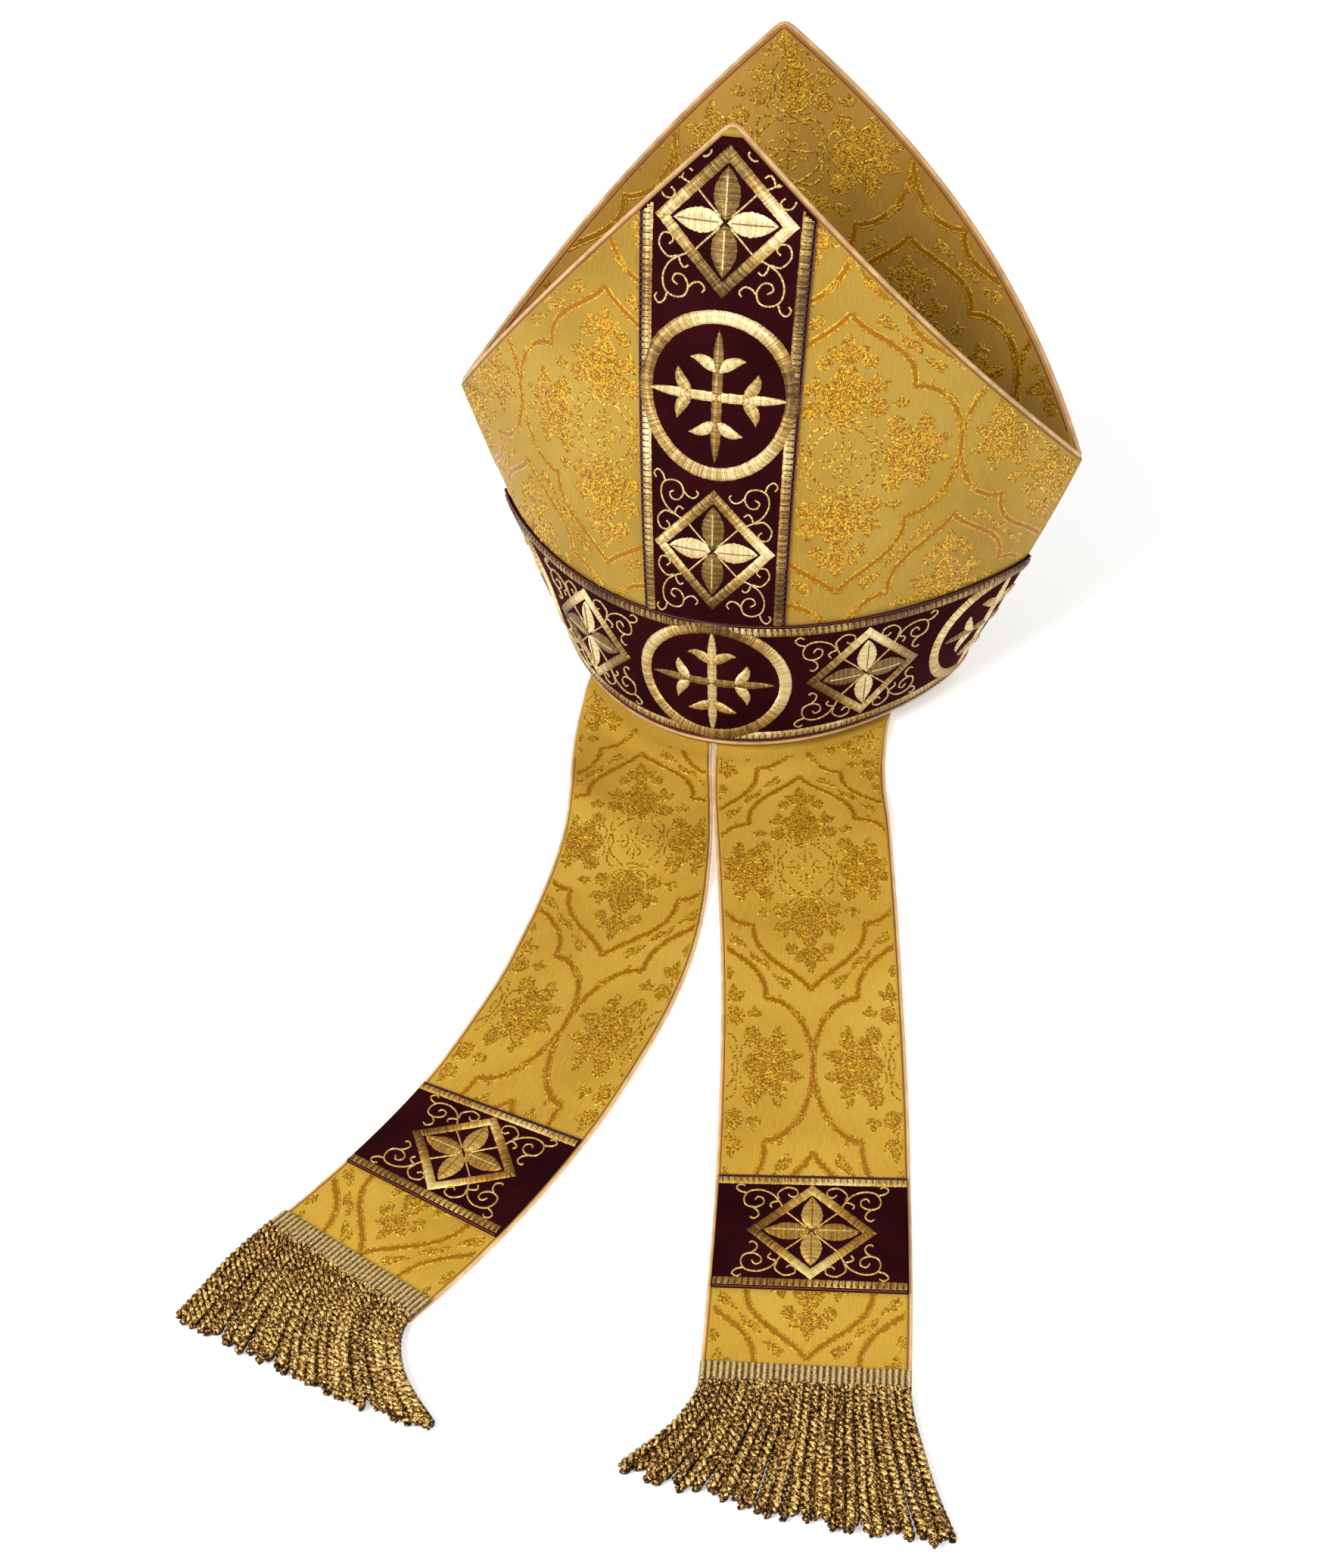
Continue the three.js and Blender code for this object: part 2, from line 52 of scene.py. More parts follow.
LOG = logging.getLogger("mitre")
MM = 0.001
# From the mitre's own axes (seam plane at y = 0) to the frame's origin, in millimetres.
TO_FRAME = np.array([-23.75, 217.05005, 0.0])


def smooth(t: Array) -> Array:
    """Eases from 0 to 1: 3c^2 - 2c^3 of t clipped to 0 and 1."""
    c = np.clip(t, 0.0, 1.0)
    return c * c * (3.0 - 2.0 * c)


def mix(a: Array, b: Array, t: Array) -> Array:
    """Goes from a to b as t goes from 0 to 1."""
    return a + (b - a) * t


def unit(v: Array) -> Array:
    """Scales vectors in the last axis to length one."""
    return v / np.maximum(np.linalg.norm(v, axis=-1, keepdims=True), 1e-12)


def lengths_along(path: Array) -> Array:
    """Distance travelled along a path at each of its points."""
    return np.concatenate([[0.0], np.cumsum(np.linalg.norm(np.diff(path, axis=0), axis=1))])


def abreast(*arrays: Array) -> Array:
    """Puts arrays side by side in a new last axis, as coordinates make points and corners make faces."""
    return np.stack(arrays, axis=-1)


def row_lengths(grid: Array) -> Array:
    """Distance travelled along each row of a grid of points."""
    steps = np.linalg.norm(np.diff(grid, axis=1), axis=-1)
    return np.concatenate([np.zeros((len(grid), 1)), np.cumsum(steps, axis=1)], axis=1)


def pair(a: Array, c: Array) -> tuple[Array, ...]:
    """Two chart coordinates as arrays of one shape."""
    return np.broadcast_arrays(np.asarray(a, float), np.asarray(c, float))


def resample(path: Array, step: float) -> Array:
    """Spaces a path's points evenly, about a step apart."""
    run = lengths_along(path)
    want = np.linspace(0.0, run[-1], max(3, int(round(run[-1] / step)) + 1))
    return np.stack([np.interp(want, run, path[:, k]) for k in range(path.shape[1])], axis=1)


def spline(points: list[tuple[float, float]], step: float = 0.9, closed: bool = False) -> Array:
    """Smooth curve through points: each stretch is the cubic with tangents half of its neighbours' chord.

    Args:
        points: places that the curve goes through.
        step: spacing of the points returned.
        closed: True to come back to the first point.

    Returns:
        The curve as rows of points; a closed one repeats its first point at its end.
    """
    p = np.asarray(points, float)
    ends = [p[-1:], p, p[:2]] if closed else [2 * p[:1] - p[1:2], p, 2 * p[-1:] - p[-2:-1]]
    q = np.concatenate(ends)
    t = np.linspace(0.0, 1.0, 13)[None, :, None]
    a, b, c, d = (q[k:len(q) - 3 + k, None, :] for k in range(4))
    cubic = 0.5 * (2 * b + (c - a) * t + (2 * a - 5 * b + 4 * c - d) * t**2 + (3 * b - a - 3 * c + d) * t**3)
    return resample(np.concatenate([cubic[:, :-1].reshape(-1, 2), cubic[-1, -1:]]), step)


def bezier(p0: tuple, p1: tuple, p2: tuple, p3: tuple, step: float = 0.9) -> Array:
    """Cubic curve from p0 to p3 drawn towards p1 and p2."""
    t = np.linspace(0.0, 1.0, 40)[:, None]
    a, b, c, d = (np.asarray(p, float) for p in (p0, p1, p2, p3))
    return resample((1 - t) ** 3 * a + 3 * (1 - t) ** 2 * t * b + 3 * (1 - t) * t**2 * c + t**3 * d, step)


def sideways(path: Array, closed: bool = False) -> Array:
    """Left-hand direction of a flat path at each point."""
    if closed:
        ring = path[:-1]
        along = np.roll(ring, -1, axis=0) - np.roll(ring, 1, axis=0)
        along = np.concatenate([along, along[:1]])
    else:
        along = np.gradient(path, axis=0)
    along = unit(along)
    return abreast(-along[:, 1], along[:, 0])


def ellipse(x: float, y: float, rx: float, ry: float, wave: float = 0.0, lobes: int = 4,
            step: float = 0.9) -> Array:
    """Closed oval whose radius swells by wave * cos(lobes * angle).

    Args:
        x: middle, across.
        y: middle, up.
        rx: half width.
        ry: half height.
        wave: share by which the radius swells.
        lobes: swellings in one turn.
        step: spacing of the points.

    Returns:
        The oval, ending on its first point.
    """
    angle = np.linspace(0.0, 2 * np.pi, 181)
    swell = 1.0 + wave * np.cos(lobes * angle)
    oval = abreast(x + rx * swell * np.cos(angle), y + ry * swell * np.sin(angle))
    return resample(oval, step)


def leaf_spine(base: tuple, tip: tuple, bend: float = 0.0, step: float = 0.8) -> Array:
    """Line from a leaf's base to its tip, bowed sideways by bend times its length."""
    a, b = np.asarray(base, float), np.asarray(tip, float)
    side = np.array([-(b - a)[1], (b - a)[0]])
    t = np.linspace(0.0, 1.0, 30)[:, None]
    return resample(a + (b - a) * t + side * bend * 4 * t * (1 - t), step)


def leaf_half(count: int, width: float, belly: float = 0.8) -> Array:
    """Half widths down a leaf: sin(pi * t^belly) raised to 0.8, so it is keen at both ends."""
    t = np.linspace(0.0, 1.0, count)
    return np.maximum(0.06, 0.5 * width * np.sin(np.pi * t**belly).clip(0.0) ** 0.8)


def leaf_edge(base: tuple, tip: tuple, width: float, bend: float = 0.0, step: float = 0.9) -> Array:
    """Closed outline of a leaf."""
    spine = leaf_spine(base, tip, bend)
    reach = sideways(spine) * leaf_half(len(spine), width)[:, None]
    return resample(np.concatenate([spine + reach, (spine - reach)[::-1][1:]]), step)


class Joinable:
    """Work held as arrays, one row for each point or face."""

    @classmethod
    def join(cls, parts: list[Self]) -> Self:
        """Puts several pieces of one kind of work into one.

        Args:
            parts: the pieces, in order.

        Returns:
            One piece with all their points and faces.
        """
        whole = {k.name: np.concatenate([getattr(p, k.name) for p in parts]) for k in fields(cls)}
        starts = np.cumsum([0] + [len(p.tone) for p in parts[:-1]])
        whole["faces"] = whole["faces"] + np.repeat(starts, [len(p.faces) for p in parts])[:, None]
        return cls(**whole)


@dataclass
class Patch(Joinable):
    """Threadwork on a flat chart: places in millimetres, heights above the cloth, faces and finishes."""

    flat: Array
    lift: Array
    faces: Array
    uv: Array
    tone: Array
    finish: Array

    def turned(self, matrix: list[list[float]]) -> Patch:
        """Maps the chart by a 2 by 2 matrix, and keeps the faces outward where it mirrors."""
        m = np.asarray(matrix, float)
        faces = self.faces if np.linalg.det(m) > 0 else self.faces[:, ::-1]
        return replace(self, flat=self.flat @ m.T, faces=faces)

    def raised(self, by: float) -> Patch:
        """Lifts the patch off the cloth."""
        return replace(self, lift=self.lift + by)

    def moved(self, a: float, c: float) -> Patch:
        """Shifts the chart."""
        return replace(self, flat=self.flat + [a, c])

    def repeated(self, centres: Array) -> Patch:
        """Copies the patch to each centre."""
        return Patch.join([self.moved(*c) for c in centres])

    def kept(self, inside: Array) -> Patch:
        """Keeps the faces whose corners are all inside, and the points that they use."""
        good = inside[self.faces].all(axis=1)
        used, faces = np.unique(self.faces[good], return_inverse=True)
        points = {k: getattr(self, k)[used] for k in ("flat", "lift", "uv", "tone")}
        return Patch(faces=faces.reshape(-1, 4), finish=self.finish[good], **points)


def grid_faces(rows: int, cols: int, wrap: bool = False) -> Array:
    """Quads of a grid of points, row by row; wrap joins the last row to the first.

    Args:
        rows: rows of points.
        cols: points in a row.
        wrap: True for a ring of rows.

    Returns:
        Four point numbers for each face.
    """
    r = np.arange(rows if wrap else rows - 1)[:, None]
    c = np.arange(cols - 1)[None, :]
    n = (r + 1) % rows
    return abreast(r * cols + c, r * cols + c + 1, n * cols + c + 1, n * cols + c).reshape(-1, 4)


def ribbon(path: Array, half: Array | float, height: float, across: int = 3, foot: float = -0.15,
           closed: bool = False, tone: Array | float = 0.5, finish: int = 0) -> Patch:
    """Thread band carried along a flat path: its section is foot + (height - foot) * sqrt(1 - v^2).

    Args:
        path: points of the middle line; a closed one repeats its first point.
        half: half width, one number or one for each point.
        height: height of the crown above the cloth.
        across: points across the band.
        foot: height of both edges, sunk a little into the cloth.
        closed: True where the path is a loop.
        tone: lightness painted into the thread, from 0 to 1; the embroidery reads it as painted sheen by the
            way its stitches lie.
        finish: which of the piece's finishes it takes.

    Returns:
        The band as a patch, with u along it in millimetres and v from -1 to 1 across.
    """
    count = len(path)
    v = np.linspace(-1.0, 1.0, across)
    wide = np.broadcast_to(half, (count,))
    flat = path[:, None, :] + sideways(path, closed)[:, None, :] * (wide[:, None] * v)[:, :, None]
    crown = np.sqrt(np.clip(1.0 - v**2, 0.0, 1.0))
    lift = np.tile(foot + (height - foot) * crown, count)
    uv = abreast(np.repeat(lengths_along(path), across), np.tile(v, count))
    light = np.repeat(np.broadcast_to(tone, (count,)), across)
    faces = grid_faces(count, across)[:, ::-1]
    return Patch(flat.reshape(-1, 2), lift, faces, uv, light, np.full(len(faces), finish))


@dataclass(frozen=True)
class PanelCut:
    """One of the two shaped panels: which way it faces, its height, and its centre line's flare and curl."""

    side: int
    tip: float
    flare: float
    curl: float


BACK = PanelCut(side=-1, tip=300.0, flare=-0.0848, curl=0.00122)
FRONT = PanelCut(side=1, tip=311.5, flare=0.1194, curl=0.00054)


@dataclass(frozen=True)
class Body:
    """Outer form of the mitre, in millimetres from the seam plane and the rim."""

    rim_half_width: float = 96.5
    rim_half_depth: float = 94.5
    corner_half_span: float = 153.0
    corner_height: float = 124.5
    seam_bow: float = 0.188
    horn_spread: float = 0.162
    rim_roundness: float = 1.3
    bulge_left: float = 0.21
    bulge_right: float = 0.323
    near_rim_lift: float = 9.0

    def span(self, z: Array) -> Array:
        """Half span of a level section: bowed from rim to corner, then spreading evenly."""
        t = z / self.corner_height
        grow = self.corner_half_span - self.rim_half_width
        low = self.rim_half_width + grow * (t + self.seam_bow * t * (1 - t))
        return np.where(t >= 1, self.corner_half_span + self.horn_spread * (z - self.corner_height), low)

    def depth(self, cut: PanelCut, z: Array) -> Array:
        """Distance of a centre line from the seam plane: b - flare z - curl z^2 / 2."""
        return self.rim_half_depth - cut.flare * z - 0.5 * cut.curl * z * z

    def panel_y(self, cut: PanelCut, x: Array, z: Array) -> Array:
        """Depth of a panel: side * depth * (1 - (x / span)^2)^power, rounder at the rim."""
        power = 1.0 / mix(self.rim_roundness, 1.0, np.clip(z / self.corner_height, 0.0, 1.0))
        inside = np.clip(1.0 - (x / self.span(z)) ** 2, 0.0, 1.0)
        return cut.side * self.depth(cut, z) * inside**power

    def normal(self, cut: PanelCut, x: Array, z: Array) -> Array:
        """Outward direction of a panel, from the slopes of its depth."""
        d = 0.3
        slope_x = (self.panel_y(cut, x + d, z) - self.panel_y(cut, x - d, z)) / (2 * d)
        slope_z = (self.panel_y(cut, x, z + d) - self.panel_y(cut, x, z - d)) / (2 * d)
        return unit(abreast(-slope_x, np.ones_like(x), -slope_z)) * cut.side

    def edge(self, cut: PanelCut, z: Array, sign: Array) -> Array:
        """Half width of a panel: the seam below the corners, above them c (1 - t)(1 + bulge t).

        Args:
            cut: the panel.
            z: heights over the rim.
            sign: minus for the left edge.

        Returns:
            Half widths at those heights.
        """
        t = np.clip((z - self.corner_height) / (cut.tip - self.corner_height), 0.0, 1.0)
        bulge = np.where(sign > 0, self.bulge_right, self.bulge_left)
        horn = self.corner_half_span * (1 - t) * (1 + bulge * t)
        return np.where(z <= self.corner_height, self.span(z), np.minimum(horn, self.span(z)))

    def stood(self, p: Array) -> Array:
        """Leans the body back over its far rim, as it stands, and moves it to the frame.

        Args:
            p: places before leaning.

        Returns:
            Places in the frame.
        """
        angle = np.arcsin(self.near_rim_lift / (2 * self.rim_half_depth))
        c, s = np.cos(angle), np.sin(angle)
        y = p[..., 1] - self.rim_half_depth
        z = p[..., 2]
        leant = abreast(p[..., 0], self.rim_half_depth + c * y + s * z, c * z - s * y)
        return leant + TO_FRAME


BODY = Body()


@dataclass
class ArcTable:
    """Turns a distance along each of many section curves back into the curve's own parameter."""

    keys: Array
    params: Array
    lengths: Array
    shares: int = 160

    def __post_init__(self) -> None:
        """Tabulates the parameter at even shares of each section's length."""
        self.total = self.lengths[:, -1]
        share = np.linspace(0.0, 1.0, self.shares + 1)
        rows = zip(self.params, self.lengths, self.total)
        self.table = np.stack([np.interp(share * whole, run, value) for value, run, whole in rows])

    def length(self, key: Array) -> Array:
        """Whole length of the section at a key."""
        return np.interp(key, self.keys, self.total)

    def param(self, key: Array, share: Array) -> Array:
        """Parameter at a share of the section's length, read from the table both ways.

        Args:
            key: which section, on the scale of the keys.
            share: share of its length.

        Returns:
            The curve's parameter there.
        """
        r = np.clip(np.interp(key, self.keys, np.arange(len(self.keys))), 0, len(self.keys) - 1.001)
        c = np.clip(share, 0.0, 1.0) * (self.shares - 1e-6)
        i, j = r.astype(int), c.astype(int)
        f, g = r - i, c - j
        low = mix(self.table[i, j], self.table[i, j + 1], g)
        high = mix(self.table[i + 1, j], self.table[i + 1, j + 1], g)
        return mix(low, high, f)


class Surface:
    """A cloth surface with a flat chart (a across, c up or along)."""

    handed = 1
    base_lift = 0.0

    def point(self, a: Array, c: Array) -> Array:
        """Place in the frame of a chart point."""
        raise NotImplementedError

    def normal(self, a: Array, c: Array) -> Array:
        """Outward direction: the cross product of the chart's two small steps."""
        d = 0.4
        across = self.point(a + d, c) - self.point(a - d, c)
        along = self.point(a, c + d) - self.point(a, c - d)
        return unit(np.cross(across, along)) * self.handed

    def lifted(self, a: Array, c: Array, lift: Array | float) -> Array:
        """Place at a height above the cloth's face."""
        high = np.asarray(lift + self.base_lift, float)
        return self.point(a, c) + self.normal(a, c) * high[..., None]


class PanelSurface(Surface):
    """Outer face of a panel: a is the distance round from the centre line, c the distance up it."""

    def __init__(self, cut: PanelCut) -> None:
        """Tabulates the panel's level sections and its centre line.

        Args:
            cut: the panel.
        """
        self.cut = cut
        self.handed = -cut.side
        self.heights = np.linspace(0.0, cut.tip, 121)
        z = self.heights[:, None]
        x = BODY.span(z) * np.sin(0.5 * np.pi * np.linspace(0.0, 1.0, 200))[None, :]
        y = BODY.panel_y(cut, x, np.broadcast_to(z, x.shape))
        self.girth = ArcTable(self.heights, x, row_lengths(abreast(x, y)))
        line = abreast(BODY.depth(cut, self.heights), self.heights)
        self.rise = lengths_along(line)

    def height(self, c: Array) -> Array:
        """Height over the rim of a distance up the centre line."""
        return np.interp(c, self.rise, self.heights)

    def climb(self, z: Array) -> Array:
        """Distance up the centre line of a height over the rim."""
        return np.interp(z, self.heights, self.rise)

    def x_of(self, a: Array, z: Array) -> Array:
        """Sideways place of a distance round the section at height z."""
        share = np.minimum(np.abs(a) / self.girth.length(z), 0.9999)
        return np.sign(a) * self.girth.param(z, share)

    def at_x(self, x: Array, z: Array) -> Array:
        """Place in the frame of a sideways place at height z."""
        return BODY.stood(abreast(x, BODY.panel_y(self.cut, x, z), z))

    def point(self, a: Array, c: Array) -> Array:
        """Place in the frame of a chart point."""
        a, c = pair(a, c)
        z = self.height(c)
        return self.at_x(self.x_of(a, z), z)

    def round_to_edge(self, z: Array, sign: Array) -> Array:
        """Distance round from the centre line to the panel's edge at height z."""
        edge = np.minimum(BODY.edge(self.cut, z, sign), 0.99995 * BODY.span(z))
        share = np.linspace(0.0, 1.0, 161)
        rows = [np.interp(e, self.girth.param(np.full(161, k), share), share) for e, k in zip(edge, z)]
        return np.array(rows) * self.girth.length(z)

    def inside(self, a: Array, c: Array, margin: float) -> Array:
        """True where a chart point is on the panel, at least a margin from its edges.

        Args:
            a: distances round.
            c: distances up.
            margin: least distance.

        Returns:
            One truth value for each point.
        """
        z = self.height(c)
        x = np.abs(self.x_of(a, z))
        low = np.abs(a) < self.girth.length(z) - margin
        high = x < BODY.edge(self.cut, z, a) - 1.25 * margin
        return np.where(z > BODY.corner_height, high, low) & (c < self.rise[-1] - margin)


class RimSurface(Surface):
    """Outer face of both panels near the rim, unrolled: a runs round from the back's middle, c runs up."""

    seam_ease = 5.0

    def __init__(self, back: PanelSurface, front: PanelSurface, level: float) -> None:
        """Takes the girth at the level as the chart's length."""
        self.back, self.front, self.level = back, front, level
        self.back_half = float(back.girth.length(level))
        self.front_half = float(front.girth.length(level))
        self.half = self.back_half + self.front_half

    def _place(self, a: Array, c: Array) -> tuple[Array, Array, Array, Array]:
        """Splits chart points between the panels, easing their spread towards the seams.

        Args:
            a: distances round.
            c: distances up.

        Returns:
            Whether a point is on the back, its place round on either panel, and c.
        """
        a, c = pair(a, c)
        a = (a + self.half) % (2 * self.half) - self.half
        on_back = np.abs(a) <= self.back_half
        far = np.sign(a) * (self.half - np.abs(a))
        w = []
        for panel, t, whole in ((self.back, a, self.back_half), (self.front, far, self.front_half)):
            grow = panel.girth.length(panel.height(c)) / whole - 1.0
            w.append(t * (1.0 + grow * np.clip(t / whole, -1.0, 1.0) ** 2))
        return on_back, w[0], w[1], c

    def point(self, a: Array, c: Array) -> Array:
        """Place in the frame of a chart point."""
        on_back, near, far, c = self._place(a, c)
        return np.where(on_back[..., None], self.back.point(near, c), self.front.point(far, c))

    def normal(self, a: Array, c: Array) -> Array:
        """Outward direction, turned smoothly over the side seams.

        Args:
            a: distances round.
            c: distances up.

        Returns:
            One direction for each point.
        """
        on_back, near, far, c = self._place(a, c)
        n = np.where(on_back[..., None], self.back.normal(near, c), self.front.normal(far, c))
        from_seam = np.abs(np.abs(np.asarray(a, float)) - self.back_half)
        near_seam = 1.0 - smooth(from_seam / self.seam_ease)
        side = np.zeros_like(n)
        side[..., 0] = np.sign(a)
        return unit(mix(n, side, (near_seam * np.ones(n.shape[:-1]))[..., None]))


@dataclass(frozen=True)
class LappetLie:
    """How one lappet lies: its centre line, stations, half widths and the line of its fringe's tips."""

    name: str
    start: float
    lead: float
    turn: float
    end: float
    band_from: float
    band_to: float
    half_rim: float
    half_mid: float
    half_end: float
    mid_at: float
    hump_at: float
    tip_left: tuple[float, float]
    tip_right: tuple[float, float]
    tip_bow: float


LEFT = LappetLie("left", -29.2, 0.286, 0.0011, 336.5, 235, 291, 33.6, 39.2, 39.8, 140, 190,
                 (-109.5, -496.0), (3.5, -524.0), 4.0)
RIGHT = LappetLie("right", 48.3, 0.296, 0.000158, 349, 241, 301, 40.8, 39.2, 39.8, 150, 208,
                  (76.0, -525.0), (200.5, -530.0), 4.12)


class LappetSurface(Surface):
    """Middle of a lappet: a is the offset from its centre line, c the way out from the rim."""

    handed = -1
    wall = 2.2
    base_lift = 1.1
    origin_y = -120.0
    square_at = 95.0
    edge_trim = 1.3
    end_from = 220.0
    end_ease = 100.0
    clear_of_rim = 3.0
    search = (-90.0, 40.0)
    halvings = 40
    tuck = 2.2
    tuck_from = 4.0
    tuck_ease = 16.0
    swell = 2.4
    swell_at = 78.0
    swell_reach = 18.0
    hump = 1.2
    hump_reach = 26.0
    hump_before_band = 22.0
    ease = 18.0
    # Way out from the rim's outline and height of the sewn end's rows, inside the rim.
    sewn = ((-6.8, 18.0), (-6.4, 11.5), (-5.4, 6.2), (-2.6, 3.8))

    def __init__(self, lie: LappetLie) -> None:
        """Tabulates where each line of the lappet passes under the rim."""
        self.lie = lie
        self.shares = np.linspace(-1.0, 1.0, 81)
        self.first = self.under_rim(self.shares * (self.half(0.0) - self.edge_trim), self.clear_of_rim)

    def half(self, e: Array) -> Array:
        """Half width with the piping: eased from rim to middle, and again to the end."""
        lie = self.lie
        e = np.asarray(e, float)
        to_mid = mix(lie.half_rim, lie.half_mid, smooth(e / lie.mid_at))
        return to_mid + (lie.half_end - lie.half_mid) * smooth((e - self.end_from) / self.end_ease)

    def plan(self, w: Array, e: Array) -> tuple[Array, Array]:
        """Plan place at offset w: the centre line is start + lead e - turn e^2, nearly square to the rim.

        Args:
            w: offsets from the centre line.
            e: ways out from the rim.

        Returns:
            The places across and along.
        """
        lie = self.lie
        turn = np.where(np.asarray(e) < 0, -lie.lead / (2 * self.square_at), lie.turn)
        slope = lie.lead - 2 * turn * e
        size = np.hypot(1.0, slope)
        return lie.start + lie.lead * e - turn * e * e + w / size, self.origin_y - e + w * slope / size

    def fringe_tip(self, u: Array) -> Array:
        """Plan place of the fringe's tips at a share across: the chord between its ends, bowed outwards."""
        left, right = np.array(self.lie.tip_left), np.array(self.lie.tip_right)
        out = unit(np.array([right[1] - left[1], left[0] - right[0]]))
        share = np.asarray(u, float)[..., None]
        return mix(left, right, 0.5 * (share + 1.0)) + out * self.lie.tip_bow * (1.0 - share**2)

    def under_rim(self, w: Array, out: float) -> Array:
        """Station where offset w crosses the rim's outline grown by out, found by halving.

        Args:
            w: offsets from the centre line.
            out: how much the outline is grown.

        Returns:
            The ways out at which the lines cross it.
        """
        low, high = (np.full(np.shape(w), end) for end in self.search)
        for _ in range(self.halvings):
            e = 0.5 * (low + high)
            x, y = self.plan(w, e)
            across = np.clip(1.0 - (x / (BODY.rim_half_width + out)) ** 2, 0.0, 1.0)
            inside = -y < (BODY.rim_half_depth + out) * across ** (1.0 / BODY.rim_roundness)
            low, high = np.where(inside, e, low), np.where(inside, high, e)
        return 0.5 * (low + high)

    def start(self, a: Array, c: Array) -> Array:
        """Station where the line through a chart point leaves the rim."""
        share = a / (self.half(c) - self.edge_trim)
        return np.interp(share, self.shares, self.first)

    def rise(self, e: Array, d: Array) -> Array:
        """Height of the middle: under the rim, over a low swell and a slack hump, then flat.

        Args:
            e: ways out from the origin.
            d: ways out from where the line leaves the rim.

        Returns:
            Heights of the middle over the surface.
        """
        lie = self.lie
        under = self.tuck * (1 - smooth((d - self.tuck_from) / self.tuck_ease))
        swell = self.swell * np.exp(-(((d - self.swell_at) / self.swell_reach) ** 2)) * smooth(d / self.ease)
        hump = self.hump * np.exp(-(((e - lie.hump_at) / self.hump_reach) ** 2))
        flat = smooth((e - lie.band_from + self.hump_before_band) / self.ease)
        return 0.5 * self.wall + under + swell + hump * (1 - flat)

    def point(self, a: Array, c: Array) -> Array:
        """Place in the frame of a chart point."""
        a, c = pair(a, c)
        x, y = self.plan(a, c)
        return abreast(x, y, self.rise(c, c - self.start(a, c))) + TO_FRAME

    def middle(self, share: Array, trimmed: float, stations: int) -> Array:
        """Grid of the middle from the sewn end to the free end, one row for each share of the half width.

        Args:
            share: shares of the half width.
            trimmed: taken off each long edge.
            stations: steps from the rim to the free end.

        Returns:
            The grid, sewn rows first.
        """
        w0 = share * (self.half(0.0) - trimmed)
        rows = []
        for out, z in self.sewn:
            x, y = self.plan(w0, self.under_rim(w0, out))
            rows.append(abreast(x, y, np.full_like(x, z)) + TO_FRAME)
        first = self.under_rim(w0, self.clear_of_rim)
        e = mix(first[:, None], self.lie.end, np.linspace(0.0, 1.0, stations + 1)[None, :])
        x, y = self.plan(share[:, None] * (self.half(e) - trimmed), e)
        lie = abreast(x, y, self.rise(e, e - first[:, None])) + TO_FRAME
        return np.concatenate([np.stack(rows, axis=1), lie], axis=1)


class GussetSurface(Surface):
    """Valley cloth between the horns: a runs across, c from the bed, minus to the near horn's edge."""

    inset = 1.75
    below_edge = 0.2
    reach = 0.968
    depth = 9.0
    dip = 14.0
    spread = 0.7
    power = 3.0
    base_lift = 0.8

    def __init__(self, panels: dict[PanelCut, PanelSurface]) -> None:
        """Tabulates the two horn edges and the cross-sections between them.

        Args:
            panels: both panels, by their cut.
        """
        self.panels = panels
        self.tau = np.linspace(-1.0, 1.0, 121)
        self.near, self.far = (horn_edge(panels[cut], self.reach * self.tau, -self.below_edge, self.inset)
                               for cut in (BACK, FRONT))
        self.across = 0.5 * (self.near[:, 0] + self.far[:, 0])
        kappa = np.linspace(0.0, 1.0, 120)[None, :] * np.ones((len(self.tau), 1))
        halves = [self.raw(self.tau[:, None], sign * kappa) for sign in (-1, 1)]
        self.tables = [ArcTable(self.tau, kappa, row_lengths(half)) for half in halves]

    def raw(self, tau: Array, kappa: Array) -> Array:
        """Place before leaning: v = |k|^0.7 along y to the edge, and v^3 of the way up from the bed.

        Args:
            tau: shares across, corner to corner.
            kappa: minus 1 at the near edge, 1 at the far.

        Returns:
            Places before leaning.
        """
        tau, kappa = np.broadcast_arrays(tau, kappa)
        near, far = (np.stack([np.interp(tau, self.tau, e[:, k]) for k in range(3)], axis=-1)
                     for e in (self.near, self.far))
        edge = np.where((kappa < 0)[..., None], near, far)
        x = np.interp(tau, self.tau, self.across)
        bed = BODY.corner_height - self.depth + self.dip * (x / BODY.corner_half_span) ** 2
        v = np.abs(kappa) ** self.spread
        z = mix(bed, edge[..., 2], v**self.power)
        return abreast(mix(x, edge[..., 0], v), edge[..., 1] * v, z)

    def point(self, a: Array, c: Array) -> Array:
        """Place in the frame of a chart point."""
        a, c = pair(a, c)
        tau = np.interp(a, self.across, self.tau)
        near, far = (table.param(tau, np.abs(c) / table.length(tau)) for table in self.tables)
        return BODY.stood(self.raw(tau, np.where(c < 0, -near, far)))

    def inside(self, a: Array, c: Array, margin: float) -> Array:
        """True where a chart point is on the gusset, at least a margin from its edges."""
        tau = np.interp(a, self.across, self.tau)
        low = -self.tables[0].length(tau) + margin
        high = self.tables[1].length(tau) - margin
        return (c > low) & (c < high) & (np.abs(a) < self.across[-1] - margin)


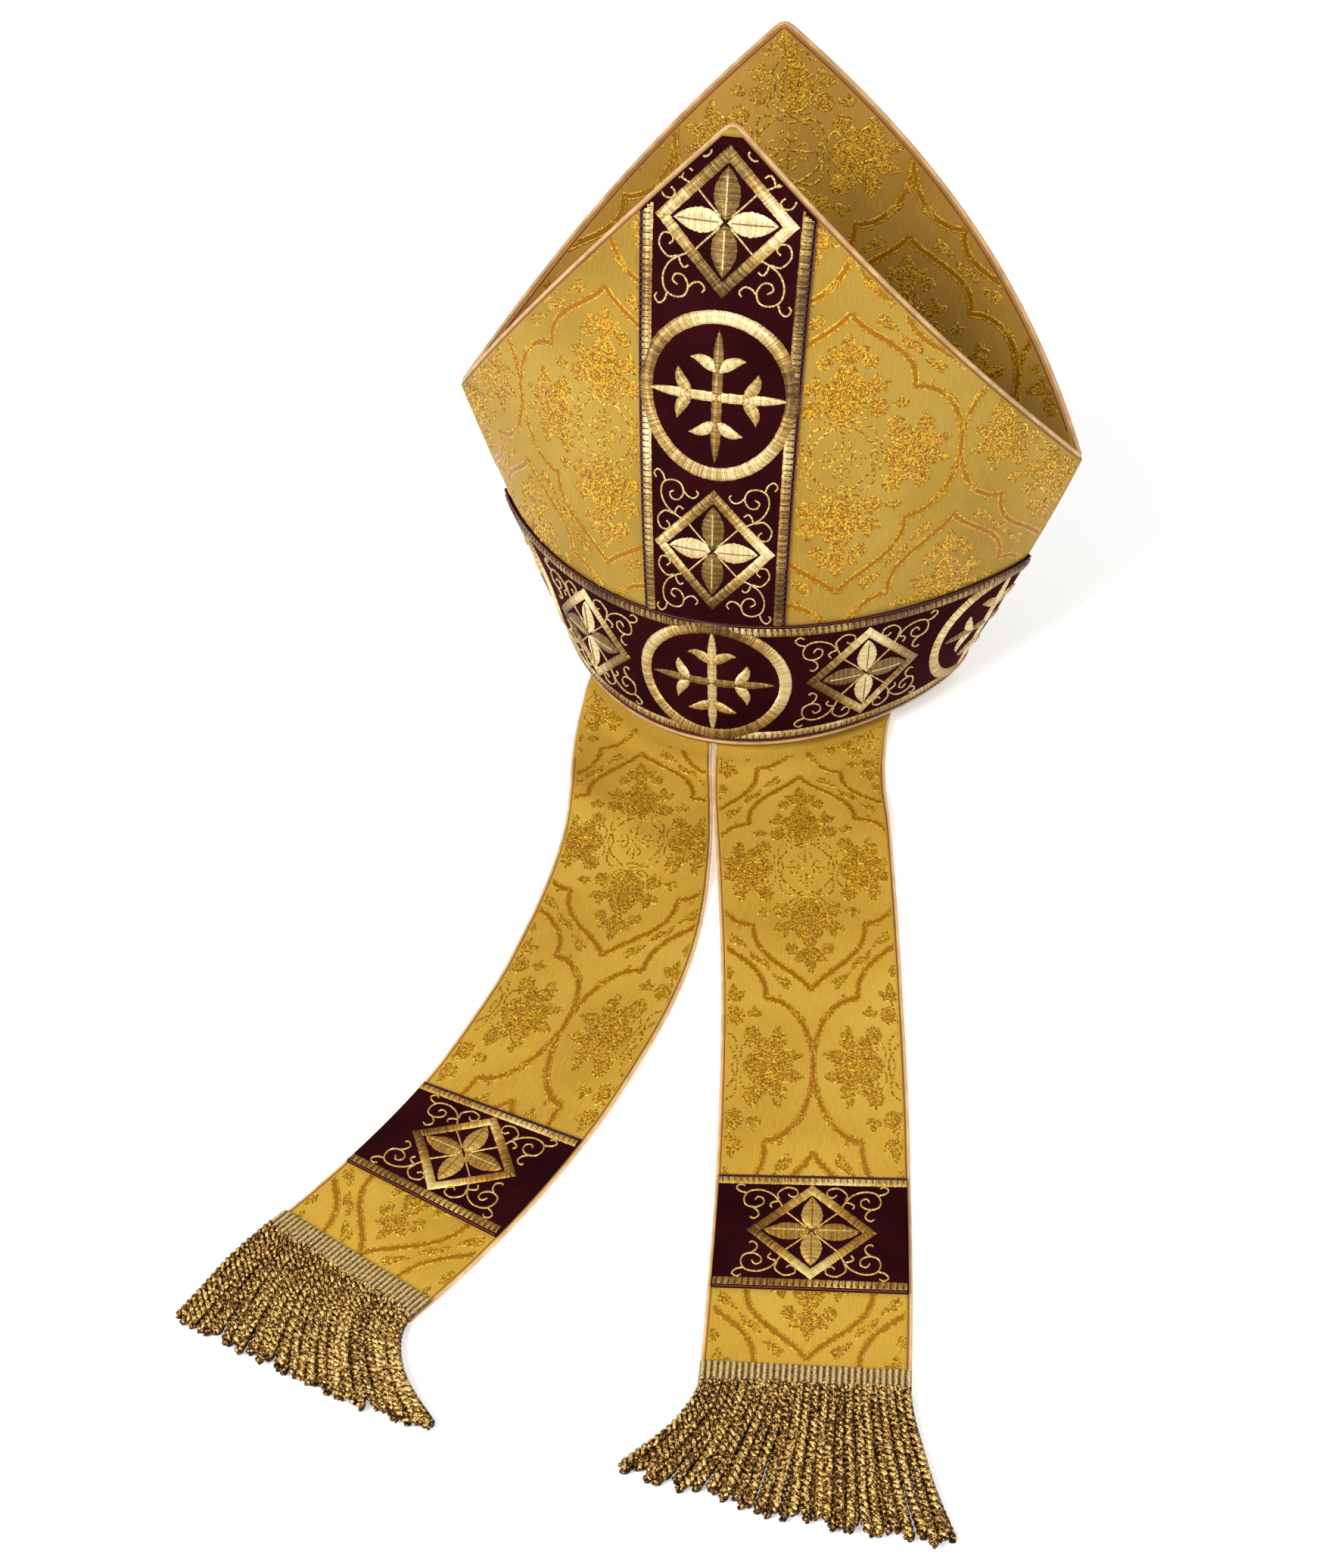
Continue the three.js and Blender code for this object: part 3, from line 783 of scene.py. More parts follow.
def horn_edge(panel: PanelSurface, share: Array, away: float, inward: float) -> Array:
    """Horn edge at shares of the way from the tip down to the corners, before leaning.

    Each point is moved off the edge in the cloth's own plane by away, and off the outer face by inward.

    Args:
        panel: the panel whose horn it is.
        share: 0 at the tip, 1 or minus 1 at a corner.
        away: distance off the edge.
        inward: distance inside the outer face.

    Returns:
        One place for each share.
    """
    cut = panel.cut

    def at(s: Array) -> Array:
        """Edge point at a share, minus on the left."""
        sign = np.where(s < 0, -1.0, 1.0)
        z = mix(cut.tip, BODY.corner_height, np.minimum(1.0, np.abs(s)))
        x = sign * BODY.edge(cut, z, sign)
        return abreast(x, BODY.panel_y(cut, x, z), z)

    p = at(share)
    sign = np.where(share < 0, -1.0, 1.0)
    nudge, d = 0.01, 0.6
    along = unit(at(share + nudge * sign) - at(sign * np.maximum(0.0, np.abs(share) - nudge)))
    x, z = p[:, 0], np.minimum(p[:, 2], cut.tip - 1.0)
    still, both = np.zeros_like(z), np.full_like(z, 2 * d)
    dx = abreast(both, BODY.panel_y(cut, x + d, z) - BODY.panel_y(cut, x - d, z), still)
    dz = abreast(still, BODY.panel_y(cut, x, z + d) - BODY.panel_y(cut, x, z - d), both)
    out = unit(np.cross(dx, dz)) * -cut.side
    off = unit(np.cross(along, out))
    off = off * np.where(off[:, 0] * sign < 0, -1.0, 1.0)[:, None]
    off = np.where((np.abs(share) < 1e-6)[:, None], np.array([0.0, 0.0, 1.0]), off)
    return p + off * away - out * inward


@dataclass
class Solid(Joinable):
    """Points in the frame with faces, chart coordinates, tone and finish numbers, ready to become a mesh."""

    points: Array
    faces: Array
    uv: Array
    tone: Array
    finish: Array

    @staticmethod
    def of_patch(patch: Patch, surface: Surface) -> Solid:
        """Lays a patch on a surface at its own heights."""
        points = surface.lifted(patch.flat[:, 0], patch.flat[:, 1], patch.lift)
        faces = patch.faces if surface.handed > 0 else patch.faces[:, ::-1]
        return Solid(points, faces, patch.uv, patch.tone, patch.finish)

    @staticmethod
    def wall(outer: Array, inner: Array, uv: Array, ring: bool = False) -> Solid:
        """Closed wall between two grids of points; ring joins the last row to the first.

        Args:
            outer: rows by columns of points on the outer face.
            inner: the same for the inner face.
            uv: chart coordinates of the grid.
            ring: True where the rows close on themselves.

        Returns:
            The wall, with its faces turned out.
        """
        rows, cols = outer.shape[:2]
        size = rows * cols
        face = grid_faces(rows, cols, ring)
        r = np.arange(rows if ring else rows - 1)
        n = (r + 1) % rows
        first, after = r * cols, n * cols
        last, after_last = first + cols - 1, after + cols - 1
        rims = [abreast(first, after, after + size, first + size),
                abreast(last, last + size, after_last + size, after_last)]
        if not ring:
            c = np.arange(cols - 1)
            e = c + (rows - 1) * cols
            rims.append(abreast(c, c + size, c + 1 + size, c + 1))
            rims.append(abreast(e, e + 1, e + 1 + size, e + size))
        faces = np.concatenate([face, face[:, ::-1] + size, *rims])
        points = np.concatenate([outer.reshape(-1, 3), inner.reshape(-1, 3)])
        flat = np.tile(uv.reshape(-1, 2), (2, 1))
        made = Solid(points, faces, flat, np.full(len(points), 0.5), np.zeros(len(faces), int))
        return made.faced_out()

    @staticmethod
    def strip(surface: Surface, a: Array, c: Array, gap: float, thick: float, ring: bool = False) -> Solid:
        """Strip of cloth laid on a surface: the wall between two heights above a grid of chart points.

        Args:
            surface: what it lies on.
            a: first chart coordinate of the grid.
            c: second chart coordinate of the grid.
            gap: height of its underside.
            thick: its thickness.
            ring: True where its rows close on themselves.

        Returns:
            The strip, with its faces turned out.
        """
        outer, inner = surface.lifted(a, c, gap + thick), surface.lifted(a, c, gap)
        return Solid.wall(outer, inner, abreast(a, c), ring)

    @staticmethod
    def tube(path: Array, radius: Array | float, sides: int, closed: bool = False,
             up: tuple[float, float, float] = (0.0, 0.0, 1.0)) -> Solid:
        """Round cord along a path: each ring is radius * (cos, sin) on two directions square to the path.

        Args:
            path: points of the middle line.
            radius: one number, or one for each point.
            sides: points round each ring, an even number.
            closed: True where the path is a loop; an open cord has flat caps.
            up: direction that the rings are turned by.

        Returns:
            The cord, with its faces turned out.
        """
        count = len(path)
        if closed:
            along = unit(np.roll(path, -1, axis=0) - np.roll(path, 1, axis=0))
        else:
            along = unit(np.gradient(path, axis=0))
        first = unit(np.cross(along, np.asarray(up, float)))
        second = np.cross(first, along)
        angle = np.linspace(0.0, 2 * np.pi, sides, endpoint=False)
        wide = np.broadcast_to(radius, (count,))[:, None, None]
        ring = first[:, None] * np.cos(angle)[None, :, None] + second[:, None] * np.sin(angle)[None, :, None]
        points = (path[:, None] + wide * ring).reshape(-1, 3)
        r = np.arange(count if closed else count - 1)[:, None]
        k = np.arange(sides)[None, :]
        n, m = (r + 1) % count, (k + 1) % sides
        faces = abreast(r * sides + k, n * sides + k, n * sides + m, r * sides + m).reshape(-1, 4)
        if not closed:
            fan = np.arange(1, sides - 2, 2)
            cap = abreast(np.zeros_like(fan), fan, fan + 1, fan + 2)
            faces = np.concatenate([faces, cap, cap[:, ::-1] + (count - 1) * sides])
        step = np.repeat(lengths_along(path), sides)
        uv = abreast(step, np.tile(angle, count))
        made = Solid(points, faces, uv, np.full(len(points), 0.5), np.zeros(len(faces), int))
        return made.faced_out()

    def faced_out(self) -> Solid:
        """Turns all faces round if they enclose a negative volume."""
        a, b, c, d = (self.points[self.faces[:, k]] for k in range(4))
        volume = (np.cross(a, b) * c).sum() + (np.cross(a, c) * d).sum()
        if volume < 0:
            self.faces = self.faces[:, ::-1]
        return self

    def piece(self, name: str, materials: list[Material], slot: str, *nodes: str) -> Object:
        """Makes the mesh, in metres, with its chart as UV map and its tone as an attribute, and settles it.

        Args:
            name: name of the piece.
            materials: its finishes, in the order of their numbers.
            slot: name of its material slot; not used.
            nodes: nodes of the body that it stands for.

        Returns:
            The object, linked to the scene and riding on the body.
        """
        mesh = bpy.data.meshes.new(name)
        mesh.vertices.add(len(self.points))
        mesh.vertices.foreach_set("co", (self.points * MM).astype(np.float32).ravel())
        loops = np.ascontiguousarray(self.faces, dtype=np.int32)
        mesh.loops.add(loops.size)
        mesh.loops.foreach_set("vertex_index", loops.ravel())
        mesh.polygons.add(len(loops))
        mesh.polygons.foreach_set("loop_start", np.arange(0, loops.size, 4, dtype=np.int32))
        mesh.polygons.foreach_set("material_index", self.finish.astype(np.int32))
        mesh.polygons.foreach_set("use_smooth", np.ones(len(loops), dtype=bool))
        chart = mesh.uv_layers.new(name="chart")
        chart.data.foreach_set("uv", self.uv[loops.ravel()].astype(np.float32).ravel())
        tone = mesh.attributes.new("tone", "FLOAT", "POINT")
        tone.data.foreach_set("value", self.tone.astype(np.float32))
        mesh.update(calc_edges=True)
        mesh.validate()
        for material in materials:
            mesh.materials.append(material)
        made = bpy.data.objects.new(name, mesh)
        bpy.context.scene.collection.objects.link(made)
        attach(made, "root")
        if nodes:
            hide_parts(*nodes)
        LOG.info("%s: %d faces", name, len(mesh.polygons))
        return made


class Bench:
    """Lays out the nodes of one material round its Principled shader."""

    def __init__(self, name: str) -> None:
        """Starts a material with its shader."""
        self.material = bpy.data.materials.new(name)
        self.material.use_nodes = True
        self.tree = self.material.node_tree
        self.shader = self.tree.nodes["Principled BSDF"]

    def put(self, socket: Socket, value: object) -> None:
        """Links a value's socket into a socket, or sets a plain value."""
        if isinstance(value, Socket):
            self.tree.links.new(value, socket)
        else:
            socket.default_value = value

    def fixed(self, **values: float | tuple) -> None:
        """Sets shader sockets that are the same all over, named with underscores for spaces."""
        self.feed(self.shader, **values)

    def node(self, kind: str, **settings: object) -> Node:
        """Adds a node and sets its properties."""
        made = self.tree.nodes.new(kind)
        for key, value in settings.items():
            setattr(made, key, value)
        return made

    def feed(self, node: Node, **inputs: object) -> Node:
        """Links or sets a node's inputs, named with underscores for spaces."""
        for key, value in inputs.items():
            self.put(node.inputs[key.replace("_", " ")], value)
        return node

    def sum(self, kind: str, a: object, b: object = 0.0) -> Socket:
        """Result of a Math node."""
        made = self.node("ShaderNodeMath", operation=kind)
        for socket, value in zip(made.inputs, (a, b)):
            self.put(socket, value)
        return made.outputs[0]

    def place(self, scale: tuple[float, float, float], chart: bool) -> Socket:
        """Chart coordinates in millimetres, or Object coordinates in metres, scaled."""
        source = self.node("ShaderNodeTexCoord").outputs["UV" if chart else "Object"]
        mapping = self.feed(self.node("ShaderNodeMapping"), Vector=source, Scale=scale)
        return mapping.outputs["Vector"]

    def noise(self, vector: Socket, scale: float, detail: float = 2.0,
              rough: float = 0.5) -> Socket:
        """Value of a noise texture."""
        made = self.node("ShaderNodeTexNoise")
        self.feed(made, Vector=vector, Scale=scale, Detail=detail, Roughness=rough)
        return made.outputs["Fac"]

    def grit(self, scale: float, detail: float = 2.0, rough: float = 0.5) -> Socket:
        """Value of a noise on Object coordinates, with its scale in turns for each metre."""
        return self.noise(self.place((1.0, 1.0, 1.0), False), scale, detail, rough)

    def ramp(self, value: Socket, stops: list[tuple[float, tuple]]) -> Socket:
        """Colours along a value.

        Args:
            value: what is looked up.
            stops: places on the ramp with linear colours.

        Returns:
            The colour's socket.
        """
        made = self.node("ShaderNodeValToRGB")
        while len(made.color_ramp.elements) < len(stops):
            made.color_ramp.elements.new(0.5)
        for element, (where, colour) in zip(made.color_ramp.elements, stops):
            element.position = where
            element.color = (*colour, 1.0)
        self.tree.links.new(value, made.inputs["Fac"])
        return made.outputs["Color"]

    def bump(self, height: Socket, strength: float, distance: float) -> None:
        """Feeds the shader's normal from a height."""
        made = self.feed(self.node("ShaderNodeBump"), Height=height, Strength=strength, Distance=distance)
        self.tree.links.new(made.outputs["Normal"], self.shader.inputs["Normal"])

    def dye(self, value: Socket, stops: Stops, dim: float = 1.0) -> None:
        """Feeds the shader's base colour from colour codes along a value, dimmed by a factor."""
        self.colour(self.ramp(value, [(where, srgb(code, dim)) for where, code in stops]))

    def colour(self, socket: Socket) -> None:
        """Feeds the shader's base colour."""
        self.tree.links.new(socket, self.shader.inputs["Base Color"])


def srgb(code: str, dim: float = 1.0) -> tuple[float, float, float]:
    """Linear colour of a hexadecimal code, dimmed by a factor."""
    c = np.array([int(code[k:k + 2], 16) for k in (0, 2, 4)]) / 255.0
    return tuple(dim * np.where(c <= 0.04045, c / 12.92, ((c + 0.055) / 1.055) ** 2.4))


@dataclass(frozen=True)
class Finish:
    """A named finish, which lays out its nodes on a bench."""

    name: str

    def lay(self, b: Bench) -> None:
        """Lays out the finish's own nodes."""
        raise NotImplementedError

    def make(self) -> Material:
        """Builds the material."""
        b = Bench(self.name)
        self.lay(b)
        return b.material


@dataclass(frozen=True)
class SatinGround(Finish):
    """Gold satin ground: long warp grain, fine weave and slow changes of tone."""

    dark: str
    mid: str
    light: str

    def lay(self, b: Bench) -> None:
        """Colours the long warp grain together with slow patches, and raises a fine weave."""
        grain = b.noise(b.place((3.2, 0.12, 1.0), True), 1.0, 3.0, 0.6)
        lie = b.sum("ADD", b.sum("MULTIPLY", grain, 0.45), b.sum("MULTIPLY", b.grit(14.0), 0.55))
        b.dye(lie, ((0.3, self.dark), (0.5, self.mid), (0.72, self.light)))
        weave = b.noise(b.place((2.2, 4.5, 1.0), True), 1.0, 1.0)
        b.bump(b.sum("ADD", weave, b.sum("MULTIPLY", grain, 0.8)), 0.22, 0.00025)
        b.fixed(Roughness=0.45, Metallic=0.12, Specular_IOR_Level=0.06, Specular_Tint=(0.9, 0.66, 0.3, 1.0))


@dataclass(frozen=True)
class LurexThread(Finish):
    """Glittering flat metal thread of the woven figure."""

    dark: str
    mid: str
    light: str
    grain: float = 850.0
    dim: float = 1.0

    def lay(self, b: Bench) -> None:
        """Colours a fine grit, partly the thread's own grain and partly painted glints at its bright end, and
        raises it.
        """
        grit = b.grit(self.grain, rough=0.6)
        b.dye(grit, ((0.38, self.dark), (0.5, self.mid), (0.6, self.light)), self.dim)
        b.bump(grit, 0.7, 0.0006)
        b.fixed(Roughness=0.32, Metallic=0.35, Specular_IOR_Level=0.3)


@dataclass(frozen=True)
class LurexLoops(Finish):
    """Looped metal thread that fills flowers and leaves: bright winding loops over orange-gold shade."""

    dim: float = 1.0
    loop: str = "F6C636"
    mid: str = "C08416"
    shade: str = "9C6814"

    def lay(self, b: Bench) -> None:
        """Lays bright loops where a noise crosses its middle level, and raises them."""
        away = b.sum("ABSOLUTE", b.sum("SUBTRACT", b.grit(760.0, 1.5), 0.5))
        b.dye(away, ((0.0, self.loop), (0.02, self.loop), (0.05, self.mid), (0.1, self.shade)), self.dim)
        b.bump(b.sum("SUBTRACT", 0.25, away), 0.7, 0.0015)
        b.fixed(Roughness=0.34, Metallic=0.3, Specular_IOR_Level=0.3)


@dataclass(frozen=True)
class SatinFill(Finish):
    """Darker orange-gold satin between the two lines of an outline."""

    dim: float = 1.0
    dark: str = "98640A"
    light: str = "AE7610"

    def lay(self, b: Bench) -> None:
        """Colours and lightly raises a very fine grit."""
        grit = b.grit(1100.0)
        b.dye(grit, ((0.4, self.dark), (0.62, self.light)), self.dim)
        b.bump(grit, 0.35, 0.0003)
        b.fixed(Roughness=0.4, Metallic=0.2, Specular_IOR_Level=0.2)


@dataclass(frozen=True)
class Velvet(Finish):
    """Very dark burgundy velvet with a red sheen."""

    name: str = "velvet"
    deep: str = "1E0407"
    warm: str = "32090F"

    def lay(self, b: Bench) -> None:
        """Mixes the pile's grit with slow patches, under a red sheen."""
        pile = b.grit(1600.0)
        lie = b.sum("ADD", b.sum("MULTIPLY", pile, 0.5), b.sum("MULTIPLY", b.grit(45.0), 0.5))
        b.dye(lie, ((0.35, self.deep), (0.65, self.warm)))
        b.bump(pile, 0.3, 0.0004)
        b.fixed(Roughness=0.95, Specular_IOR_Level=0.04, Sheen_Weight=0.14, Sheen_Roughness=0.32,
                Sheen_Tint=(0.7, 0.03, 0.05, 1.0))


@dataclass(frozen=True)
class MetalThread(Finish):
    """Satin-stitched metal thread with single stitches showing; its tone attribute paints the sheen that
    light gives stitches lying each way.
    """

    name: str = "metal_thread"
    stitch: float = 0.4
    shake: float = 0.36
    stops: Stops = (
        (0.05, "3E2A0C"), (0.35, "80602A"), (0.62, "BC9A54"), (0.95, "F2E2AE"))

    def lay(self, b: Bench) -> None:
        """Adds each stitch's shake and fleck to the painted sheen of the tone attribute, and raises every
        stitch.
        """
        chart = b.node("ShaderNodeTexCoord").outputs["UV"]
        along = b.feed(b.node("ShaderNodeSeparateXYZ"), Vector=chart).outputs["X"]
        step = b.sum("FLOOR", b.sum("DIVIDE", along, self.stitch))
        single = b.node("ShaderNodeTexWhiteNoise", noise_dimensions="1D")
        b.tree.links.new(step, single.inputs["W"])
        tone = b.node("ShaderNodeAttribute", attribute_name="tone").outputs["Fac"]
        shake = b.sum("MULTIPLY", b.sum("SUBTRACT", single.outputs["Value"], 0.5), self.shake)
        fleck = b.sum("MULTIPLY", b.sum("SUBTRACT", b.grit(900.0), 0.5), 0.5)
        b.dye(b.sum("ADD", b.sum("ADD", tone, shake), fleck), self.stops)
        ridge = b.sum("ABSOLUTE", b.sum("SINE", b.sum("MULTIPLY", along, np.pi / self.stitch)))
        b.bump(ridge, 0.4, 0.0003)
        b.fixed(Roughness=0.36, Metallic=0.55)


@dataclass(frozen=True)
class PlainThread(Finish):
    """Matt sewing thread or narrow satin of one colour with a fine twist."""

    dark: str
    light: str
    roughness: float = 0.6
    twist: float = 0.9

    def lay(self, b: Bench) -> None:
        """Colours slow patches and raises the twist: sin(2 pi u / twist + v)."""
        chart = b.node("ShaderNodeTexCoord").outputs["UV"]
        part = b.feed(b.node("ShaderNodeSeparateXYZ"), Vector=chart)
        turn = b.sum("ADD", b.sum("MULTIPLY", part.outputs["X"], 2 * np.pi / self.twist), part.outputs["Y"])
        ridge = b.sum("SINE", turn)
        b.dye(b.grit(120.0), ((0.35, self.dark), (0.65, self.light)))
        b.bump(ridge, 0.18, 0.0002)
        b.fixed(Roughness=self.roughness, Sheen_Weight=0.1)


@dataclass(frozen=True)
class Bullion(Finish):
    """Sparkling metal thread of the fringe and its heading: the tone attribute paints shade in the grooves
    and highlights on the crowns, and a grit paints glints.
    """

    stops: Stops
    grain: float
    sparkle: float
    level: float = 0.35

    def lay(self, b: Bench) -> None:
        """Adds painted glints from the grit to half of the tone's painted shade and highlight, and raises the
        grit.
        """
        grit = b.grit(self.grain, rough=0.7)
        tone = b.node("ShaderNodeAttribute", attribute_name="tone").outputs["Fac"]
        shake = b.sum("MULTIPLY", b.sum("SUBTRACT", grit, self.level), self.sparkle)
        b.dye(b.sum("ADD", b.sum("MULTIPLY", tone, 0.5), shake), self.stops)
        b.bump(grit, 0.5, 0.0005)
        b.fixed(Roughness=0.32, Metallic=0.55)


class Figure(IntEnum):
    """Finishes of the woven figure."""

    LINE = 0
    LOOPS = 1
    BAND = 2
    # Dark seam thread; beside the horn piping it also stands for the piping's painted shadow line.
    SEAM = 3
    RIDGE = 4


@dataclass(frozen=True)
class BrocadeFigure:
    """The woven figure: barbed medallions in half-drop rows, with knots, bouquets, rosettes and sprays."""

    half_width: float = 57.0
    half_height: float = 69.0
    row: float = 106.0
    cusp: tuple[float, float] = (31.4, 32.8)
    line: float = 0.6
    rise: float = 0.42
    sunk: float = -0.04
    pile: float = 0.3
    double: float = 1.3
    step: float = 1.1

    def thread(self, path: Array, wide: float = 1.0, finish: int = Figure.LINE) -> Patch:
        """One rope-like line of the figure."""
        return ribbon(resample(path, self.step), self.line * wide, self.rise, foot=self.sunk, finish=finish)

    def fill(self, base: tuple, tip: tuple, width: float, bend: float = 0.0) -> Patch:
        """Leaf-shaped mass of loops."""
        spine = leaf_spine(base, tip, bend, 1.5)
        return ribbon(spine, leaf_half(len(spine), width), self.pile, foot=0.06, finish=Figure.LOOPS)

    def disc(self, x: float, y: float, radius: float) -> Patch:
        """Round mass of loops: half widths of a circle along its diameter."""
        d = np.linspace(-radius, radius, 9)
        path = abreast(x + d, np.full_like(d, y))
        half = np.sqrt(np.maximum(radius**2 - d**2, 0.01))
        return ribbon(path, half, self.pile, foot=0.06, finish=Figure.LOOPS)

    def leaf(self, base: tuple, tip: tuple, width: float, bend: float = 0.0) -> list[Patch]:
        """Filled leaf with its outline."""
        return [self.fill(base, tip, width, bend), self.thread(leaf_edge(base, tip, width, bend), 0.7)]

    def rosette(self, x: float, y: float, radius: float, lobes: int = 8) -> list[Patch]:
        """Filled flower with a waved edge and a round eye."""
        edge = self.thread(ellipse(x, y, radius, radius, 0.14, lobes), 0.75)
        eye = self.thread(ellipse(x, y, 0.3 * radius, 0.3 * radius), 0.7)
        return [self.disc(x, y, radius), edge, eye]

    def trefoil(self, x: float, y: float, size: float) -> list[Patch]:
        """Three small leaves from one foot, pointing up."""
        tips = ((0.0, size), (-0.72 * size, 0.5 * size), (0.72 * size, 0.5 * size))
        return [p for dx, dy in tips for p in self.leaf((x, y), (x + dx, y + dy), 0.5 * size)]

    def outline(self) -> list[Patch]:
        """Quarter of the medallion's double line: an oval lobe to the cusp and an ogee to the point.

        Returns:
            Two lines and the satin between them, for each of the two curves.
        """
        cx, cy = self.cusp
        angle = np.linspace(0.5 * np.pi, 0.0, 40)
        lobe = abreast(cx + (self.half_width - cx) * np.sin(angle), cy * np.cos(angle))
        ogee = bezier((cx, cy), (cx + 2.0, 52.0), (9.0, 57.0), (0.0, self.half_height))
        parts = []
        for path in (lobe, ogee):
            path = resample(path, self.step)
            off = sideways(path) * self.double
            parts += [self.thread(line, 0.95, Figure.RIDGE) for line in (path + off, path - off)]
            parts.append(ribbon(path, self.double, 0.2, foot=0.06, finish=Figure.BAND))
        return parts

    def spray(self) -> list[Patch]:
        """Leaves beside the touching point, between this medallion and the next row."""
        x = self.half_width
        leaves = (((x - 1.8, 9.5), (x - 2.2, 15.0), 2.0, 0.1),
                  ((x - 4.0, 21.5), (x - 12.0, 29.0), 2.8, 0.06),
                  ((x - 13.0, 37.5), (x - 22.0, 46.0), 3.2, -0.05),
                  ((x - 28.0, 51.5), (x - 34.0, 58.5), 2.8, 0.06),
                  ((x - 40.0, 62.5), (x - 46.0, 66.5), 2.4, 0.05))
        parts = [p for leaf in leaves for p in self.leaf(*leaf)]
        return parts + [self.disc(x - 29.5, 46.5, 1.1), self.disc(x - 17.5, 34.0, 1.1)]

    def curls(self) -> list[Patch]:
        """Two small scrolls at the foot of a flower."""
        curl = [(2.0, 18.4), (7.0, 17.8), (10.5, 20.4), (9.4, 23.2), (7.6, 22.0)]
        return [self.thread(spline([(side * x, y) for x, y in curl])) for side in (-1, 1)]

    def bouquet(self) -> list[Patch]:
        """Flower spray pointing up: a pomegranate bulb, side flowers, small rosettes, wings and a bud.

        Returns:
            Its patches, about the medallion's middle.
        """
        right = [(6.8, 20.5), (9.8, 28.0), (8.2, 36.0), (4.4, 42.0)]
        bulb = [(0.0, 18.0), *right, (0.0, 46.5), *((-x, y) for x, y in right[::-1])]
        parts = [self.fill((0, 18.2), (0, 46.5), 19.0), self.thread(spline(bulb, 1.0, True))]
        parts.append(self.thread(leaf_edge((0, 22), (0, 43), 7.0)).raised(self.pile))
        parts += self.leaf((0, 44.5), (0, 60.5), 7.6) + self.curls()
        for side in (-1, 1):
            vein = self.thread(leaf_edge((4.0 * side, 23), (6.2 * side, 36), 3.4))
            parts.append(vein.raised(0.6 * self.pile))
            parts.append(self.thread(spline([(8.5 * side, 27), (12.2 * side, 28.6), (13.8 * side, 32.4)])))
            parts += self.trefoil(13.8 * side, 32.0, 8.6)
            parts += self.rosette(10.2 * side, 46.6, 3.2, 6)
            parts += self.leaf((1.6 * side, 46.5), (9.6 * side, 53.6), 5.2, 0.1 * side)
        return parts

    def thistle(self) -> list[Patch]:
        """Broad flower pointing up: a round head, two horns, pointed side leaves and two stalked trefoils.

        Returns:
            Its patches, about the medallion's middle.
        """
        parts = [self.fill((0, 18.6), (0, 46.0), 18.0), *self.curls()]
        parts.append(self.thread(leaf_edge((0, 19.5), (0, 43), 17.0)))
        parts.append(self.thread(leaf_edge((0, 22), (0, 40), 7.0)).raised(self.pile))
        for side in (-1, 1):
            parts += self.leaf((3.0 * side, 33.5), (5.6 * side, 52.0), 6.6)
            parts += self.leaf((6.0 * side, 30.0), (11.8 * side, 43.0), 6.0)
            parts += self.leaf((6.0 * side, 26.0), (14.0 * side, 31.0), 5.2)
            parts.append(self.thread(spline([(8.0 * side, 30), (12.4 * side, 33.0), (14.6 * side, 36.4)])))
            parts += self.trefoil(14.6 * side, 36.0, 6.6)
        return parts

    def knot(self) -> list[Patch]:
        """Interlaced ring and four-lobed loop round a cross of curled sprigs.

        Returns:
            Its patches, about the medallion's middle.
        """
        parts = [self.thread(ellipse(0, 0, 15.6, 15.6, 0.05), 1.2)]
        parts.append(self.thread(ellipse(0, 0, 16.4, 16.4, -0.2), 1.1))
        curl = spline([(0.2, 4.2), (2.9, 5.0), (3.9, 7.6), (2.3, 8.8)])
        stem = np.array([(0.0, 1.4), (0.0, 6.0), (0.0, 11.0)])
        sprig = Patch.join([self.thread(stem, 1.1), self.thread(curl), self.thread(curl * [-1.0, 1.0])])
        return parts + [sprig.turned(m) for m in QUARTER_TURNS]

    def medallion(self) -> Patch:
        """One medallion with everything that repeats with it.

        Returns:
            The medallion about the origin.
        """
        quarter = Patch.join(self.outline() + self.spray() + self.rosette(15.2, 24.2, 4.1)
                             + self.rosette(24.0, 14.6, 4.1) + self.trefoil(25.4, 23.6, 5.6))
        tall, wide = Patch.join(self.bouquet()), Patch.join(self.thistle())
        parts = [quarter.turned(m) for m in MIRRORS]
        parts += [tall, tall.turned(MIRRORS[1])]
        parts += [wide.turned(QUARTER_TURNS[3]), wide.turned(QUARTER_TURNS[1])]
        return Patch.join(parts + self.knot())

    def centres(self, reach_a: float, low: float, high: float) -> Array:
        """Medallion centres of the half-drop rows that can touch a chart region about the origin.

        Args:
            reach_a: how far the region goes either way.
            low: its lower end.
            high: its upper end.

        Returns:
            One row for each centre.
        """
        first = np.floor((low - self.half_height) / self.row)
        rows = np.arange(first, np.ceil((high + self.half_height) / self.row) + 1)
        side = np.ceil(reach_a / (2 * self.half_width)) + 1
        columns = np.arange(-side, side + 1)
        j, i = np.meshgrid(rows, columns, indexing="ij")
        return abreast((2 * i + j % 2) * self.half_width, j * self.row).reshape(-1, 2)


QUARTER_TURNS = ([[1, 0], [0, 1]], [[0, -1], [1, 0]], [[-1, 0], [0, -1]], [[0, 1], [-1, 0]])
MIRRORS = ([[1, 0], [0, 1]], [[1, 0], [0, -1]], [[-1, 0], [0, 1]], [[-1, 0], [0, -1]])


class Stitch(IntEnum):
    """Finishes of the galloon's embroidery."""

    GOLD = 0
    DARK = 1
    EDGE = 2


class Unit(Enum):
    """Embroidered units of the galloon."""

    LOZENGE = "lozenge"
    ROUNDEL = "roundel"


